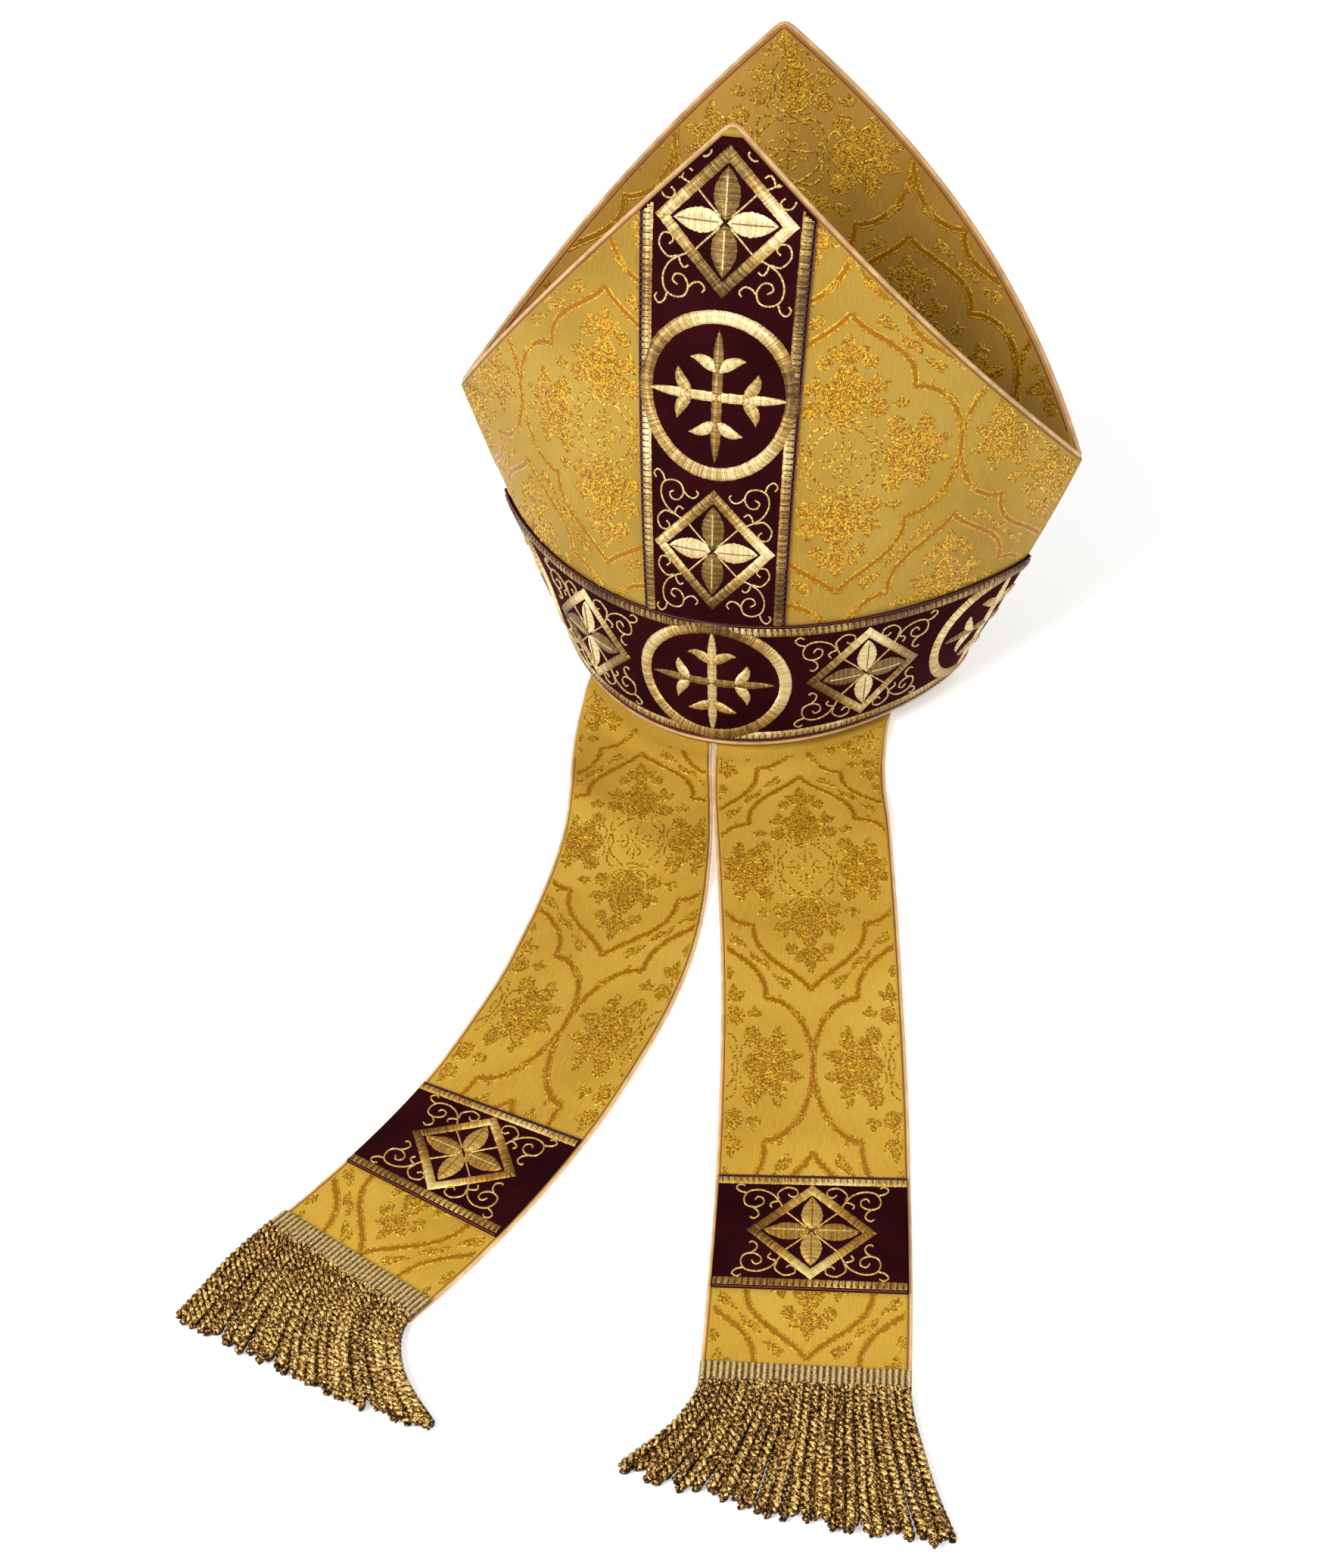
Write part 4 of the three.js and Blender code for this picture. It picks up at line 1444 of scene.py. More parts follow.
@dataclass(frozen=True)
class GalloonDesign:
    """Embroidery of the velvet galloon on a strip 70 mm wide: a runs along it, c across from its middle."""

    half: float = 35.0
    lozenge_a: float = 31.0
    lozenge_c: float = 29.0
    frame_half: float = 2.45
    ring_a: float = 38.5
    ring_c: float = 34.7
    ring_half: float = 3.1
    border_half: float = 2.35
    border_in: float = 1.15
    tick_half: float = 0.55
    tick_gap: float = 2.9
    step: float = 0.75
    uneven: float = 0.05

    def ragged(self, count: int, seed: int) -> Array:
        """Small uneven factors for the ends of stitches."""
        return 1.0 + self.uneven * np.random.default_rng(seed).uniform(-1.0, 1.0, count)

    def satin(self, path: Array, half: Array | float, height: float, tone: Array | float, across: int = 5,
              closed: bool = False) -> Patch:
        """Raised satin-stitched band with slightly uneven edges."""
        wide = np.broadcast_to(half, (len(path),)) * self.ragged(len(path), len(path))
        return ribbon(path, wide, height, across, -0.1, closed, tone, Stitch.GOLD)

    def rope(self, points: list[tuple[float, float]], tone: float = 0.72) -> Patch:
        """Thin beaded line through points."""
        path = spline(points, 0.7)
        bead = 0.47 * (1.0 + 0.16 * np.cos(np.arange(len(path)) * np.pi))
        return ribbon(path, bead, 0.6, 3, -0.1, tone=tone, finish=Stitch.GOLD)

    def petal(self, base: tuple, tip: tuple, width: float, tone: float, bend: float = 0.0,
              belly: float = 0.9) -> Patch:
        """Leaf in satin stitch."""
        spine = leaf_spine(base, tip, bend, 0.6)
        return self.satin(spine, leaf_half(len(spine), width, belly), 1.0, tone)

    def scroll(self) -> Patch:
        """Vine in the corner beside a lozenge: stem, curl, hook, main spiral, branch and tail."""
        lines = [
            [(13.8, 14.2), (15.7, 18.0), (19.0, 22.2), (24.5, 24.6), (30.1, 23.6), (32.4, 19.6), (31.4, 15.4),
             (27.2, 13.9), (23.4, 16.0), (23.2, 19.2), (25.8, 20.4), (27.4, 18.2)],
            [(15.6, 18.6), (16.4, 22.8), (12.2, 26.4), (7.6, 25.2), (7.2, 21.8), (9.6, 20.6), (11.4, 22.2)],
            [(16.0, 18.0), (18.2, 17.4), (20.0, 15.8), (18.8, 13.9)],
            [(28.2, 14.0), (25.8, 11.8), (25.2, 9.0), (27.4, 7.0), (29.2, 8.0)],
            [(31.2, 22.6), (34.6, 23.8), (36.2, 26.2), (34.0, 28.0), (32.0, 26.9)],
        ]
        return Patch.join([self.rope(line) for line in lines])

    def lozenge(self, dark: float = 0.3, light: float = 0.9) -> Patch:
        """Framed lozenge with two petals in darker and two in lighter painted sheen, thin diagonals and four
        corner vines.

        Args:
            dark: painted sheen of the petals along the strip.
            light: painted sheen of the others.

        Returns:
            The lozenge about the origin.
        """
        a, c = self.lozenge_a - 1.5 * self.frame_half, self.lozenge_c - 1.5 * self.frame_half
        corners = np.array([(a, 0), (0, c), (-a, 0), (0, -c), (a, 0)], float)
        side = np.linspace(0.0, 1.0, 52)[:-1, None]
        sides = [p + (q - p) * side for p, q in zip(corners[:-1], corners[1:])]
        path = np.concatenate([*sides, corners[:1]])
        corner = np.arange(len(path)) % len(side) == 0
        angle = np.arctan2(path[:, 1], path[:, 0])
        # Painted sheen: the frame turns lighter and darker as the way of its stitches changes round the
        # lozenge.
        tone = 0.56 - 0.26 * np.cos(2 * angle) + 0.12 * np.sin(angle + 0.6)
        parts = [self.satin(path, self.frame_half * np.where(corner, 1.42, 1.0), 0.95, tone, 5, True)]
        # Petals and veins along the strip and across it take different painted sheen.
        for sign in (-1, 1):
            parts.append(self.petal((0.8 * sign, 0), (22.4 * sign, 0), 11.0, dark))
            parts.append(self.petal((0, 0.8 * sign), (0, 20.6 * sign), 10.6, light))
            vein = [(3.0 * sign, 0.0), (10.0 * sign, 0.0), (19.0 * sign, 0.0)]
            parts.append(self.rope(vein, 0.8).raised(0.85))
            parts.append(self.rope([(y, x) for x, y in vein], 0.35).raised(0.8))
        corner_work = Patch.join([self.scroll(), self.rope([(2.2, 2.1), (7.6, 7.3), (13.2, 12.4)])])
        return Patch.join(parts + [corner_work.turned(m) for m in MIRRORS])

    def cross_arm(self, tone: float) -> Patch:
        """Arm of the leafy cross, pointing along a: bar, two curved leaves and a keen spike.

        Args:
            tone: painted sheen of its bar and spike.

        Returns:
            The arm.
        """
        bar = self.satin(resample(np.array([(0.0, 0.0), (14.5, 0.0)]), self.step), 2.35, 0.85, tone)
        spike_line = resample(np.array([(13.6, 0.0), (30.2, 0.0)]), self.step)
        t = np.linspace(0.0, 1.0, len(spike_line))
        spike = self.satin(spike_line, np.maximum(0.08, 2.9 * (1 - t) ** 0.9 * (0.75 + 1.1 * t)), 0.9, tone)
        # The leaves take the opposite painted sheen to the bar.
        light = 0.95 - 0.45 * tone
        leaves = [self.petal((11.0, 0.8 * s), (16.9, 11.7 * s), 5.6, light, -0.14 * s, 0.8) for s in (-1, 1)]
        return Patch.join([bar, spike, *leaves])

    def roundel(self) -> Patch:
        """Ring across the whole width with a leafy cross inside.

        Returns:
            The roundel about the origin.
        """
        a, c = self.ring_a - self.ring_half, self.ring_c - self.ring_half
        ring = ellipse(0.0, 0.0, a, c, step=self.step)
        angle = np.arctan2(ring[:, 1], ring[:, 0])
        # Painted sheen: the ring turns lighter and darker as the way of its stitches changes round it.
        tone = 0.58 + 0.24 * np.cos(2 * angle) + 0.14 * np.sin(angle * 3 + 1.0)
        parts = [self.satin(ring, self.ring_half, 1.15, tone, 7, True)]
        # Arms along and across the strip take darker and lighter painted sheen.
        arms = [self.cross_arm(0.36), self.cross_arm(0.8)]
        return Patch.join(parts + [arms[k % 2].turned(m) for k, m in enumerate(QUARTER_TURNS)])

    def unit(self, kind: Unit) -> tuple[Patch, float]:
        """One unit about the origin, and its half length along the strip."""
        return (self.lozenge(), self.lozenge_a) if kind is Unit.LOZENGE else (self.roundel(), self.ring_a)

    def borders(self, start: float, stop: float) -> Patch:
        """Both edge strips in satin stitch, with dark ladder stitches over their outer part.

        Args:
            start: where the strips begin.
            stop: where they end.

        Returns:
            Both strips with their stitches.
        """
        parts = []
        middle = self.half - self.border_in - self.border_half
        count = max(3, int((stop - start) / 1.0))
        a = np.linspace(start, stop, count)
        wander = 0.55 + 0.16 * np.sin(a * 0.045 + 0.8) + 0.1 * np.sin(a * 0.13)
        ticks = np.arange(start + 1.0, stop - 0.5, self.tick_gap)
        for side in (-1, 1):
            strip = abreast(a, np.full(count, side * middle))
            parts.append(self.satin(strip, self.border_half, 0.85, wander - 0.1 * side, 5))
            rung = np.array([(0.0, side * 34.1), (0.3, side * 32.2), (0.6, side * 30.3)])
            rung = ribbon(rung, self.tick_half, 1.05, 3, 0.5, finish=Stitch.DARK)
            parts.append(rung.repeated(abreast(ticks, np.zeros(len(ticks)))))
            edge = abreast(a, np.full(count, side * (self.half - 0.25)))
            parts.append(ribbon(edge, 0.36, 0.4, finish=Stitch.EDGE))
        return Patch.join(parts)


class GalloonSurface(Surface):
    """Face of a laid velvet strip, charted by the galloon's design: a along it, c across from its middle."""

    def __init__(self, base: Surface, lift: float) -> None:
        """Lies on a base surface at a lift above its face."""
        self.base = base
        self.base_lift = base.base_lift + lift

    def chart(self, a: Array, c: Array) -> tuple[Array, Array]:
        """Base chart point of a design point."""
        raise NotImplementedError

    def point(self, a: Array, c: Array) -> Array:
        """Place in the frame of a design point."""
        return self.base.point(*self.chart(a, c))

    def normal(self, a: Array, c: Array) -> Array:
        """The base's outward direction."""
        return self.base.normal(*self.chart(a, c))


class OrphreySurface(GalloonSurface):
    """The strip up a panel's centre line, widening a little towards the tip."""

    foot = 70.6
    half_low = 33.7
    half_high = 40.8
    short_of_tip = 5.0

    def __init__(self, panel: PanelSurface, lift: float) -> None:
        """Lies on a panel."""
        super().__init__(panel, lift)
        self.handed = -panel.handed
        self.top = panel.cut.tip - self.short_of_tip

    def half(self, z: Array) -> Array:
        """Half width at a height."""
        return mix(self.half_low, self.half_high, (z - self.foot) / (self.top - self.foot))

    def chart(self, a: Array, c: Array) -> tuple[Array, Array]:
        """Design a is the distance up the panel, and c is stretched to the strip's width."""
        return c / GALLOON.half * self.half(self.base.height(a)), a


class RimBandSurface(GalloonSurface):
    """The strip round the rim."""

    foot = 4.4
    top = 70.0

    def chart(self, a: Array, c: Array) -> tuple[Array, Array]:
        """Design a runs round, and c is scaled to the strip's height."""
        middle, half = 0.5 * (self.foot + self.top), 0.5 * (self.top - self.foot)
        return a, middle + c * half / GALLOON.half


class LappetBandSurface(GalloonSurface):
    """The strip across a lappet."""

    handed = -1
    along = 0.865

    def chart(self, a: Array, c: Array) -> tuple[Array, Array]:
        """Design a runs across the lappet, and c is scaled to the strip's length."""
        lie = self.base.lie
        middle, half = 0.5 * (lie.band_from + lie.band_to), 0.5 * (lie.band_to - lie.band_from)
        return a * self.along, middle + c * half / GALLOON.half


GALLOON = GalloonDesign()
FIGURE = BrocadeFigure()


# Warmer embroidery of the lappets' bands, a painted warm reflection; the heading's and the fringe's thread
# from painted groove shade to painted glint.
LAPPET_PAINTED_REFLECTION_STOPS = ((0.05, "48280A"), (0.35, "94661E"), (0.62, "CE9C3E"), (0.95, "F8E090"))
HEADING_SHADE_TO_GLINT_STOPS = ((0.14, "4A2E0E"), (0.34, "9C7432"), (0.52, "D2AE64"), (0.74, "FBEEC4"))
BULLION_SHADE_TO_GLINT_STOPS = ((0.27, "160A02"), (0.42, "5C3808"), (0.58, "A06612"), (0.76, "FFDE88"))


class Finishes:
    """Every material of the mitre, made once."""

    def __init__(self) -> None:
        """Makes each finish; the figure's are lit and shaded copies of one figure, brightest on the lappets
        and dimmest in the valley: painted light and painted shade.
        """
        self.ground = SatinGround("satin_ground", "8C6F2E", "AA893B", "C0A152").make()
        # Painted light: the lappets' satin is the panels' cloth made lighter and more orange, for cloth lying
        # face up.
        self.lappet_ground = SatinGround("lappet_satin", "B0852C", "D0A53F", "E2BC56").make()
        # Painted shade: the valley's satin is the panels' cloth made darker for the shade between the horns.
        self.valley_ground = SatinGround("valley_satin", "8A662A", "A88038", "C0984E").make()
        self.velvet = Velvet().make()
        self.metal = MetalThread().make()
        # Painted reflection: the lappets' bands take a warmer copy of the same metal thread.
        self.lappet_metal = MetalThread("lappet_metal_thread", stops=LAPPET_PAINTED_REFLECTION_STOPS).make()
        self.dark = PlainThread("dark_thread", "2A0C10", "3A141A").make()
        self.seam = PlainThread("seam_thread", "6A2A14", "843C1C").make()
        self.edge = PlainThread("edge_thread", "4A0A10", "5E1018").make()
        self.piping = PlainThread("satin_piping", "B98E5C", "D6AE7C", 0.5, 1.6).make()
        self.lappet_piping = PlainThread("lappet_piping", "DDB07E", "EECB9C", 0.5, 1.6).make()
        self.heading = Bullion("heading_braid", HEADING_SHADE_TO_GLINT_STOPS, 1100.0, 1.0).make()
        self.bullion = Bullion("bullion_thread", BULLION_SHADE_TO_GLINT_STOPS, 800.0, 2.3, 0.42).make()
        # Painted light and shade: one figure, lightest on the lappets, darker on the panels and darkest in
        # the valley.
        self.lappet_figure = self.figure_set("lappet", 1.0)
        self.panel_figure = self.figure_set("panel", 0.86)
        self.valley_figure = self.figure_set("valley", 0.74)

    def figure_set(self, place: str, dim: float) -> list[Material]:
        """Finishes of the woven figure, in the order of Figure.

        Args:
            place: where it is woven.
            dim: factor on its colours, painted shade for where it is woven.

        Returns:
            The materials.
        """
        line = LurexThread(f"lurex_thread_{place}", "86560E", "BC8618", "F8D648", dim=dim)
        ridge = LurexThread(f"outline_thread_{place}", "A87008", "C88E14", "F2C63E", 900.0, dim)
        made = [line, LurexLoops(f"lurex_loops_{place}", dim), SatinFill(f"satin_fill_{place}", dim)]
        return [*(finish.make() for finish in made), self.seam, ridge.make()]

    def galloon(self, warm: bool = False) -> list[Material]:
        """Finishes of the embroidery, in the order of Stitch; warm gives the lappets' bands their painted
        warm reflection.
        """
        return [self.lappet_metal if warm else self.metal, self.dark, self.edge]


def about_middle(middle: Array, thick: float) -> tuple[Array, Array]:
    """Two grids half a thickness either side of a middle grid.

    Args:
        middle: grid of points.
        thick: whole thickness.

    Returns:
        The outer and the inner grid.
    """
    across = np.gradient(middle, axis=1)
    along = np.gradient(middle, axis=0)
    n = unit(np.cross(across, along))
    return middle + 0.5 * thick * n, middle - 0.5 * thick * n


@dataclass
class PanelWork:
    """A shaped panel with its figure, its orphrey and the piping of its horn."""

    label: str
    panel: PanelSurface
    finishes: Finishes
    wall: float = 2.2
    rows_low: int = 40
    rows_high: int = 64
    columns: int = 96
    figure_up: float = 48.0
    trim_gap: float = 0.35
    trim_wall: float = 1.1
    piping_radius: float = 1.1
    seam_in: float = 1.0
    seam_half: float = 0.4
    seam_high: float = 0.3
    figure_reach: float = 200.0
    thin: float = 0.2
    edge_gap: float = 1.2

    def cloth(self) -> None:
        """Outer and inner face from the rim to the tip, with the edges closed."""
        cut = self.panel.cut
        corner = BODY.corner_height
        z = np.concatenate([np.linspace(0.0, corner, self.rows_low)[:-1],
                            np.linspace(corner, cut.tip - self.edge_gap, self.rows_high)])
        share = np.linspace(-1.0, 1.0, self.columns + 1)
        reach = np.where(share[None, :] < 0, self.panel.round_to_edge(z, -np.ones_like(z))[:, None],
                         self.panel.round_to_edge(z, np.ones_like(z))[:, None])
        a = share[None, :] * reach
        high = np.broadcast_to(z[:, None], a.shape)
        x = self.panel.x_of(a, high)
        outer = abreast(x, BODY.panel_y(cut, x, high), high)
        inner = outer - self.wall * BODY.normal(cut, x, high)
        for grid in (outer, inner):
            grid[..., 1] = cut.side * np.maximum(self.thin, cut.side * grid[..., 1])
            grid[..., 2] = np.maximum(0.0, grid[..., 2])
        uv = abreast(a, self.panel.climb(high))
        made = Solid.wall(BODY.stood(outer), BODY.stood(inner), uv)
        name = f"{self.label}_panel"
        made.piece(f"{name}_cloth", [self.finishes.ground], "gold_brocade", name)

    def figure(self) -> None:
        """Woven figure where the orphrey and the rim band leave the cloth bare."""
        centres = FIGURE.centres(self.figure_reach, -self.figure_up, self.panel.rise[-1])
        work = FIGURE.medallion().repeated(centres + [0.0, self.figure_up])
        a, c = work.flat.T
        z = self.panel.height(c)
        strip = OrphreySurface(self.panel, 0.0)
        bare = (np.abs(a) > strip.half(z) - 0.6) & (c > self.panel.climb(RimBandSurface.top) - 0.5)
        work = work.kept(bare & self.panel.inside(a, c, self.edge_gap))
        # Painted shadow line: a dark thread just inside each horn edge, where the piping's shadow falls.
        z = np.linspace(BODY.corner_height + 2.0, self.panel.cut.tip - 5.0, 160)
        seams = []
        for side in (-1, 1):
            edge = self.panel.round_to_edge(z, np.full_like(z, side)) - self.seam_in
            path = abreast(side * edge, self.panel.climb(z))
            seams.append(ribbon(path, self.seam_half, self.seam_high, finish=Figure.SEAM))
        made = Solid.of_patch(Patch.join([work, *seams]), self.panel)
        made.piece(f"{self.label}_panel_figure", self.finishes.panel_figure, "gold_brocade")

    def orphrey(self) -> None:
        """Velvet strip with its embroidery, cut to the horn's point."""
        strip = OrphreySurface(self.panel, self.trim_gap + self.trim_wall)
        z = np.linspace(strip.foot, strip.top, 120)
        u = np.linspace(-1.0, 1.0, 33)
        edge = BODY.edge(self.panel.cut, z[:, None], u[None, :]) - self.edge_gap
        a = u[None, :] * np.minimum(strip.half(z)[:, None], edge)
        c = np.broadcast_to(self.panel.climb(z)[:, None], a.shape)
        made = Solid.strip(self.panel, a, c, self.trim_gap, self.trim_wall)
        name = f"{self.label}_orphrey"
        made.piece(f"{name}_velvet", [self.finishes.velvet], "velvet_galloon", name)
        self.embroider(strip, name)

    def embroider(self, strip: OrphreySurface, name: str) -> None:
        """Lozenge, roundel, lozenge up the strip between its borders.

        Args:
            strip: face of the velvet.
            name: name of the strip.
        """
        top = self.panel.climb(strip.top)
        grow = top / ORPHREY_TOP
        parts = [GALLOON.borders(self.panel.climb(strip.foot) + 0.3, top)]
        for kind, middle, half in ORPHREY_UNITS:
            work, whole = GALLOON.unit(kind)
            parts.append(work.turned([[half / whole, 0], [0, 1]]).moved(middle * grow, 0.0))
        work = Patch.join(parts)
        w, s = strip.chart(*work.flat.T)
        work = work.kept(self.panel.inside(w, s, 1.6) & (s > self.panel.climb(strip.foot)))
        made = Solid.of_patch(work, strip)
        made.piece(f"{name}_embroidery", self.finishes.galloon(), "velvet_galloon")

    def piping(self) -> None:
        """Satin piping over the horn's edge, rounded at the tip."""
        share = np.linspace(-0.99, 0.99, 281)
        path = horn_edge(self.panel, share, 0.7 * self.piping_radius, 0.5 * self.wall)
        for _ in range(3):
            path[1:-1] = 0.25 * path[:-2] + 0.5 * path[1:-1] + 0.25 * path[2:]
        made = Solid.tube(BODY.stood(path), self.piping_radius, 12, up=(0.0, 1.0, 0.0))
        name = f"{self.label}_horn_piping"
        made.piece(f"{name}_satin", [self.finishes.piping], "satin_piping", name)

    def build(self) -> None:
        """Makes every piece of the panel."""
        self.cloth()
        self.figure()
        self.orphrey()
        self.piping()


# Embroidered units up an orphrey: kind, middle and half length along the strip.
ORPHREY_UNITS = ((Unit.LOZENGE, 107.5, 31.0), (Unit.ROUNDEL, 182.3, 39.8), (Unit.LOZENGE, 260.5, 33.7))
ORPHREY_TOP = 297.0


@dataclass
class RimWork:
    """Velvet band and piping round the rim."""

    rim: RimSurface
    finishes: Finishes
    gap: float = 0.6
    wall: float = 1.1
    around: int = 420
    piping_radius: float = 0.8
    piping_height: float = 2.8
    first_step: float = 73.0
    unit_share: float = 0.965

    def band(self) -> None:
        """Velvet ring with its embroidery: roundels and lozenges in turn, closing at the front's middle."""
        strip = RimBandSurface(self.rim, self.gap + self.wall)
        a = np.linspace(-self.rim.half, self.rim.half, self.around, endpoint=False)[:, None]
        c = np.linspace(strip.foot, strip.top, 13)[None, :]
        made = Solid.strip(self.rim, *pair(a, c), self.gap, self.wall, ring=True)
        made.piece("rim_band_velvet", [self.finishes.velvet], "velvet_galloon", "rim_band")
        parts = [GALLOON.borders(-self.rim.half, self.rim.half)]
        k = np.arange(-3, 5)
        spare = self.rim.half / 4 - self.first_step
        for turn, middle in zip(k, self.first_step * k + spare * k**3 / 16):
            work, _ = GALLOON.unit(Unit.LOZENGE if turn % 2 else Unit.ROUNDEL)
            parts.append(work.turned([[self.unit_share, 0], [0, 1]]).moved(float(middle), 0.0))
        made = Solid.of_patch(Patch.join(parts), strip)
        made.piece("rim_band_embroidery", self.finishes.galloon(), "velvet_galloon")

    def piping(self) -> None:
        """Satin piping along the rim's lower edge."""
        a = np.linspace(-self.rim.half, self.rim.half, self.around, endpoint=False)
        c = np.full_like(a, self.piping_height)
        path = self.rim.lifted(a, c, self.gap + self.piping_radius)
        made = Solid.tube(path, self.piping_radius, 10, closed=True)
        made.piece("rim_piping_satin", [self.finishes.piping], "satin_piping", "rim_piping")


@dataclass
class GussetWork:
    """Soft valley cloth between the horns with its figure."""

    gusset: GussetSurface
    finishes: Finishes
    wall: float = 1.6
    figure_across: float = 3.0
    figure_up: float = 144.0
    figure_lift: float = 0.12
    seam_in: float = 1.5
    seam_half: float = 0.4
    seam_high: float = 0.3
    flat_width: float = 0.262
    flat_length: float = 0.40
    flat_area: float = 0.072
    rows: int = 121
    columns: int = 141
    figure_reach: float = 260.0
    figure_in: float = 2.5

    def build(self) -> None:
        """Cloth and figure."""
        tau = np.linspace(-1.0, 1.0, self.rows)[:, None]
        kappa = np.linspace(-1.0, 1.0, self.columns)[None, :]
        middle = BODY.stood(self.gusset.raw(tau, kappa))
        outer, inner = about_middle(middle, self.wall)
        up = row_lengths(middle)
        bed = up[:, self.columns // 2, None]
        uv = abreast(middle[..., 0] - TO_FRAME[0], up - bed)
        made = Solid.wall(outer, inner, uv)
        name = "crown_gusset"
        cloth = made.piece(f"{name}_cloth", [self.finishes.valley_ground], "gold_brocade", name)
        centres = FIGURE.centres(self.figure_reach, -self.figure_reach, self.figure_reach)
        work = FIGURE.medallion().repeated(centres + [self.figure_across, self.figure_up])
        work = work.kept(self.gusset.inside(*work.flat.T, self.figure_in))
        # Painted shadow line: a dark thread just inside each horn edge of the gusset, where the piping's
        # shadow falls.
        seams = []
        for side, table in zip((-1, 1), self.gusset.tables):
            edge = abreast(self.gusset.across, side * (table.total - self.seam_in))[2:-2]
            edge = resample(edge, 1.5)
            seams.append(ribbon(edge, self.seam_half, self.seam_high, finish=Figure.SEAM))
        made = Solid.of_patch(Patch.join([work, *seams]).raised(self.figure_lift), self.gusset)
        figure = made.piece(f"{name}_figure", self.finishes.valley_figure, "gold_brocade")


# Way out from the rim of the figure's heights, medallion point to touching point, as the lappets are cut.
LAPPET_HEIGHTS = (-140.0, -69.0, 0.0, 69.0, 104.7, 140.5, 230.0)
LAPPET_STATIONS = (-78.0, -15.0, 47.0, 128.5, 174.0, 226.0, 356.0)
# Below the band another medallion lies with its middle this far behind the band's edge, and this long.
LOWER_BEHIND = 37.0
LOWER_STRETCH = 1.03


@dataclass
class LappetWork:
    """One lappet: cloth, figure, piping, velvet band, heading and fringe."""

    surface: LappetSurface
    finishes: Finishes
    stations: int = 150
    piping_radius: float = 0.75
    figure_share: float = 44.5 / 57.0
    band_gap: float = 0.35
    band_wall: float = 1.1
    heading: float = 10.5
    heading_low: float = 2.75
    rib_gap: float = 2.3
    rib_points: int = 8
    rib_rise: float = 0.95
    rib_loop: float = 0.9
    braid_wall: float = 0.9
    strands: int = 27
    ply: float = 1.03
    twist: float = 5.4
    first_turn: float = 6.3
    sway: float = 0.5
    sway_waves: float = 1.4
    strand_points: int = 112
    strand_sides: int = 6
    ply_out: float = 0.85
    taper: tuple[float, float] = (0.9, 1.12)
    tip_round: float = 0.025
    tip_stray: float = 0.025
    tip_short: float = 0.92
    root_in: float = 1.5
    square_for: float = 16.0
    root_height: float = 2.9
    layer_step: float = 0.7
    twist_vary: tuple[float, float] = (0.85, 1.2)
    light_vary: tuple[float, float] = (0.8, 1.1)
    under_shade: float = 0.3
    floor_gap: float = 0.05
    layers: tuple[float, ...] = (2.3, 4.1)
    sewn_in: float = 20.0
    # Painted sheen of the band lozenge's petals, along the strip and across it.
    band_petals: tuple[float, float] = (0.5, 0.68)
    band_scale: tuple[float, float] = (0.97, 1.03)

    @property
    def name(self) -> str:
        """Side of the lappet."""
        return self.surface.lie.name

    def cloth(self) -> Object:
        """Brocade strip from its sewn end inside the rim to the fringe.

        Returns:
            The piece.
        """
        share = np.linspace(-1.0, 1.0, 41)
        middle = self.surface.middle(share, self.surface.edge_trim, self.stations)
        outer, inner = about_middle(middle, self.surface.wall)
        along = row_lengths(middle)
        across = np.broadcast_to(share[:, None] * self.surface.half(0.0), along.shape)
        made = Solid.wall(outer, inner, abreast(across, along))
        return made.piece(f"{self.name}_lappet_cloth", [self.finishes.lappet_ground], "gold_brocade",
                          f"{self.name}_lappet")

    def figure(self) -> Object:
        """Woven figure down the lappet, and the fine seam beside each piping.

        Returns:
            The piece.
        """
        lie, s = self.surface.lie, self.surface
        rows = FIGURE.medallion().repeated(FIGURE.centres(40.0, -60.0, 240.0))
        upper = np.polynomial.Polynomial.fit(LAPPET_HEIGHTS, LAPPET_STATIONS, 3)
        lower = np.polynomial.Polynomial([lie.band_to - LOWER_BEHIND, LOWER_STRETCH])
        ends = ((upper, s.first.min(), lie.band_from + 0.5),
                (lower, lie.band_to - 0.5, lie.end - self.heading))
        parts = []
        for stretch, low, high in ends:
            a, c = rows.flat[:, 0] * self.figure_share, stretch(rows.flat[:, 1])
            edge = s.half(c) - s.edge_trim
            clear = c > s.start(np.clip(a, -edge, edge), c) + 1.0
            work = replace(rows, flat=abreast(a, c))
            parts.append(work.kept((np.abs(a) < edge - 1.2) & clear & (c > low) & (c < high)))
        for side in (-1, 1):
            c = np.arange(s.first.max(), lie.end - self.heading, 1.5)
            path = abreast(side * (s.half(c) - s.edge_trim - 0.5), c)
            parts.append(ribbon(path, 0.3, 0.25, finish=Figure.SEAM))
        made = Solid.of_patch(Patch.join(parts), s)
        return made.piece(f"{self.name}_lappet_figure", self.finishes.lappet_figure, "gold_brocade")

    def piping(self) -> Object:
        """Piping down both long edges, joined across the sewn end.

        Returns:
            The piece.
        """
        s, r = self.surface, self.piping_radius
        sides = s.middle(np.array([-1.0, 1.0]), r, self.stations)
        sides[..., 2] += 0.3
        w = np.linspace(-1.0, 1.0, 40) * (s.half(0.0) - r)
        x, y = s.plan(w, s.under_rim(w, s.sewn[0][0]))
        across = abreast(x, y, np.full_like(x, s.sewn[0][1] + r + 0.95)) + TO_FRAME
        path = np.concatenate([sides[0, 1:][::-1], across, sides[1, 1:]])
        run = lengths_along(path)
        want = np.arange(0.0, run[-1], 1.6)
        path = np.stack([np.interp(want, run, path[:, k]) for k in range(3)], axis=1)
        made = Solid.tube(path, r, 10, up=(0.0, 0.35, 1.0))
        return made.piece(f"{self.name}_lappet_piping_satin", [self.finishes.lappet_piping], "satin_piping",
                          f"{self.name}_lappet_piping")

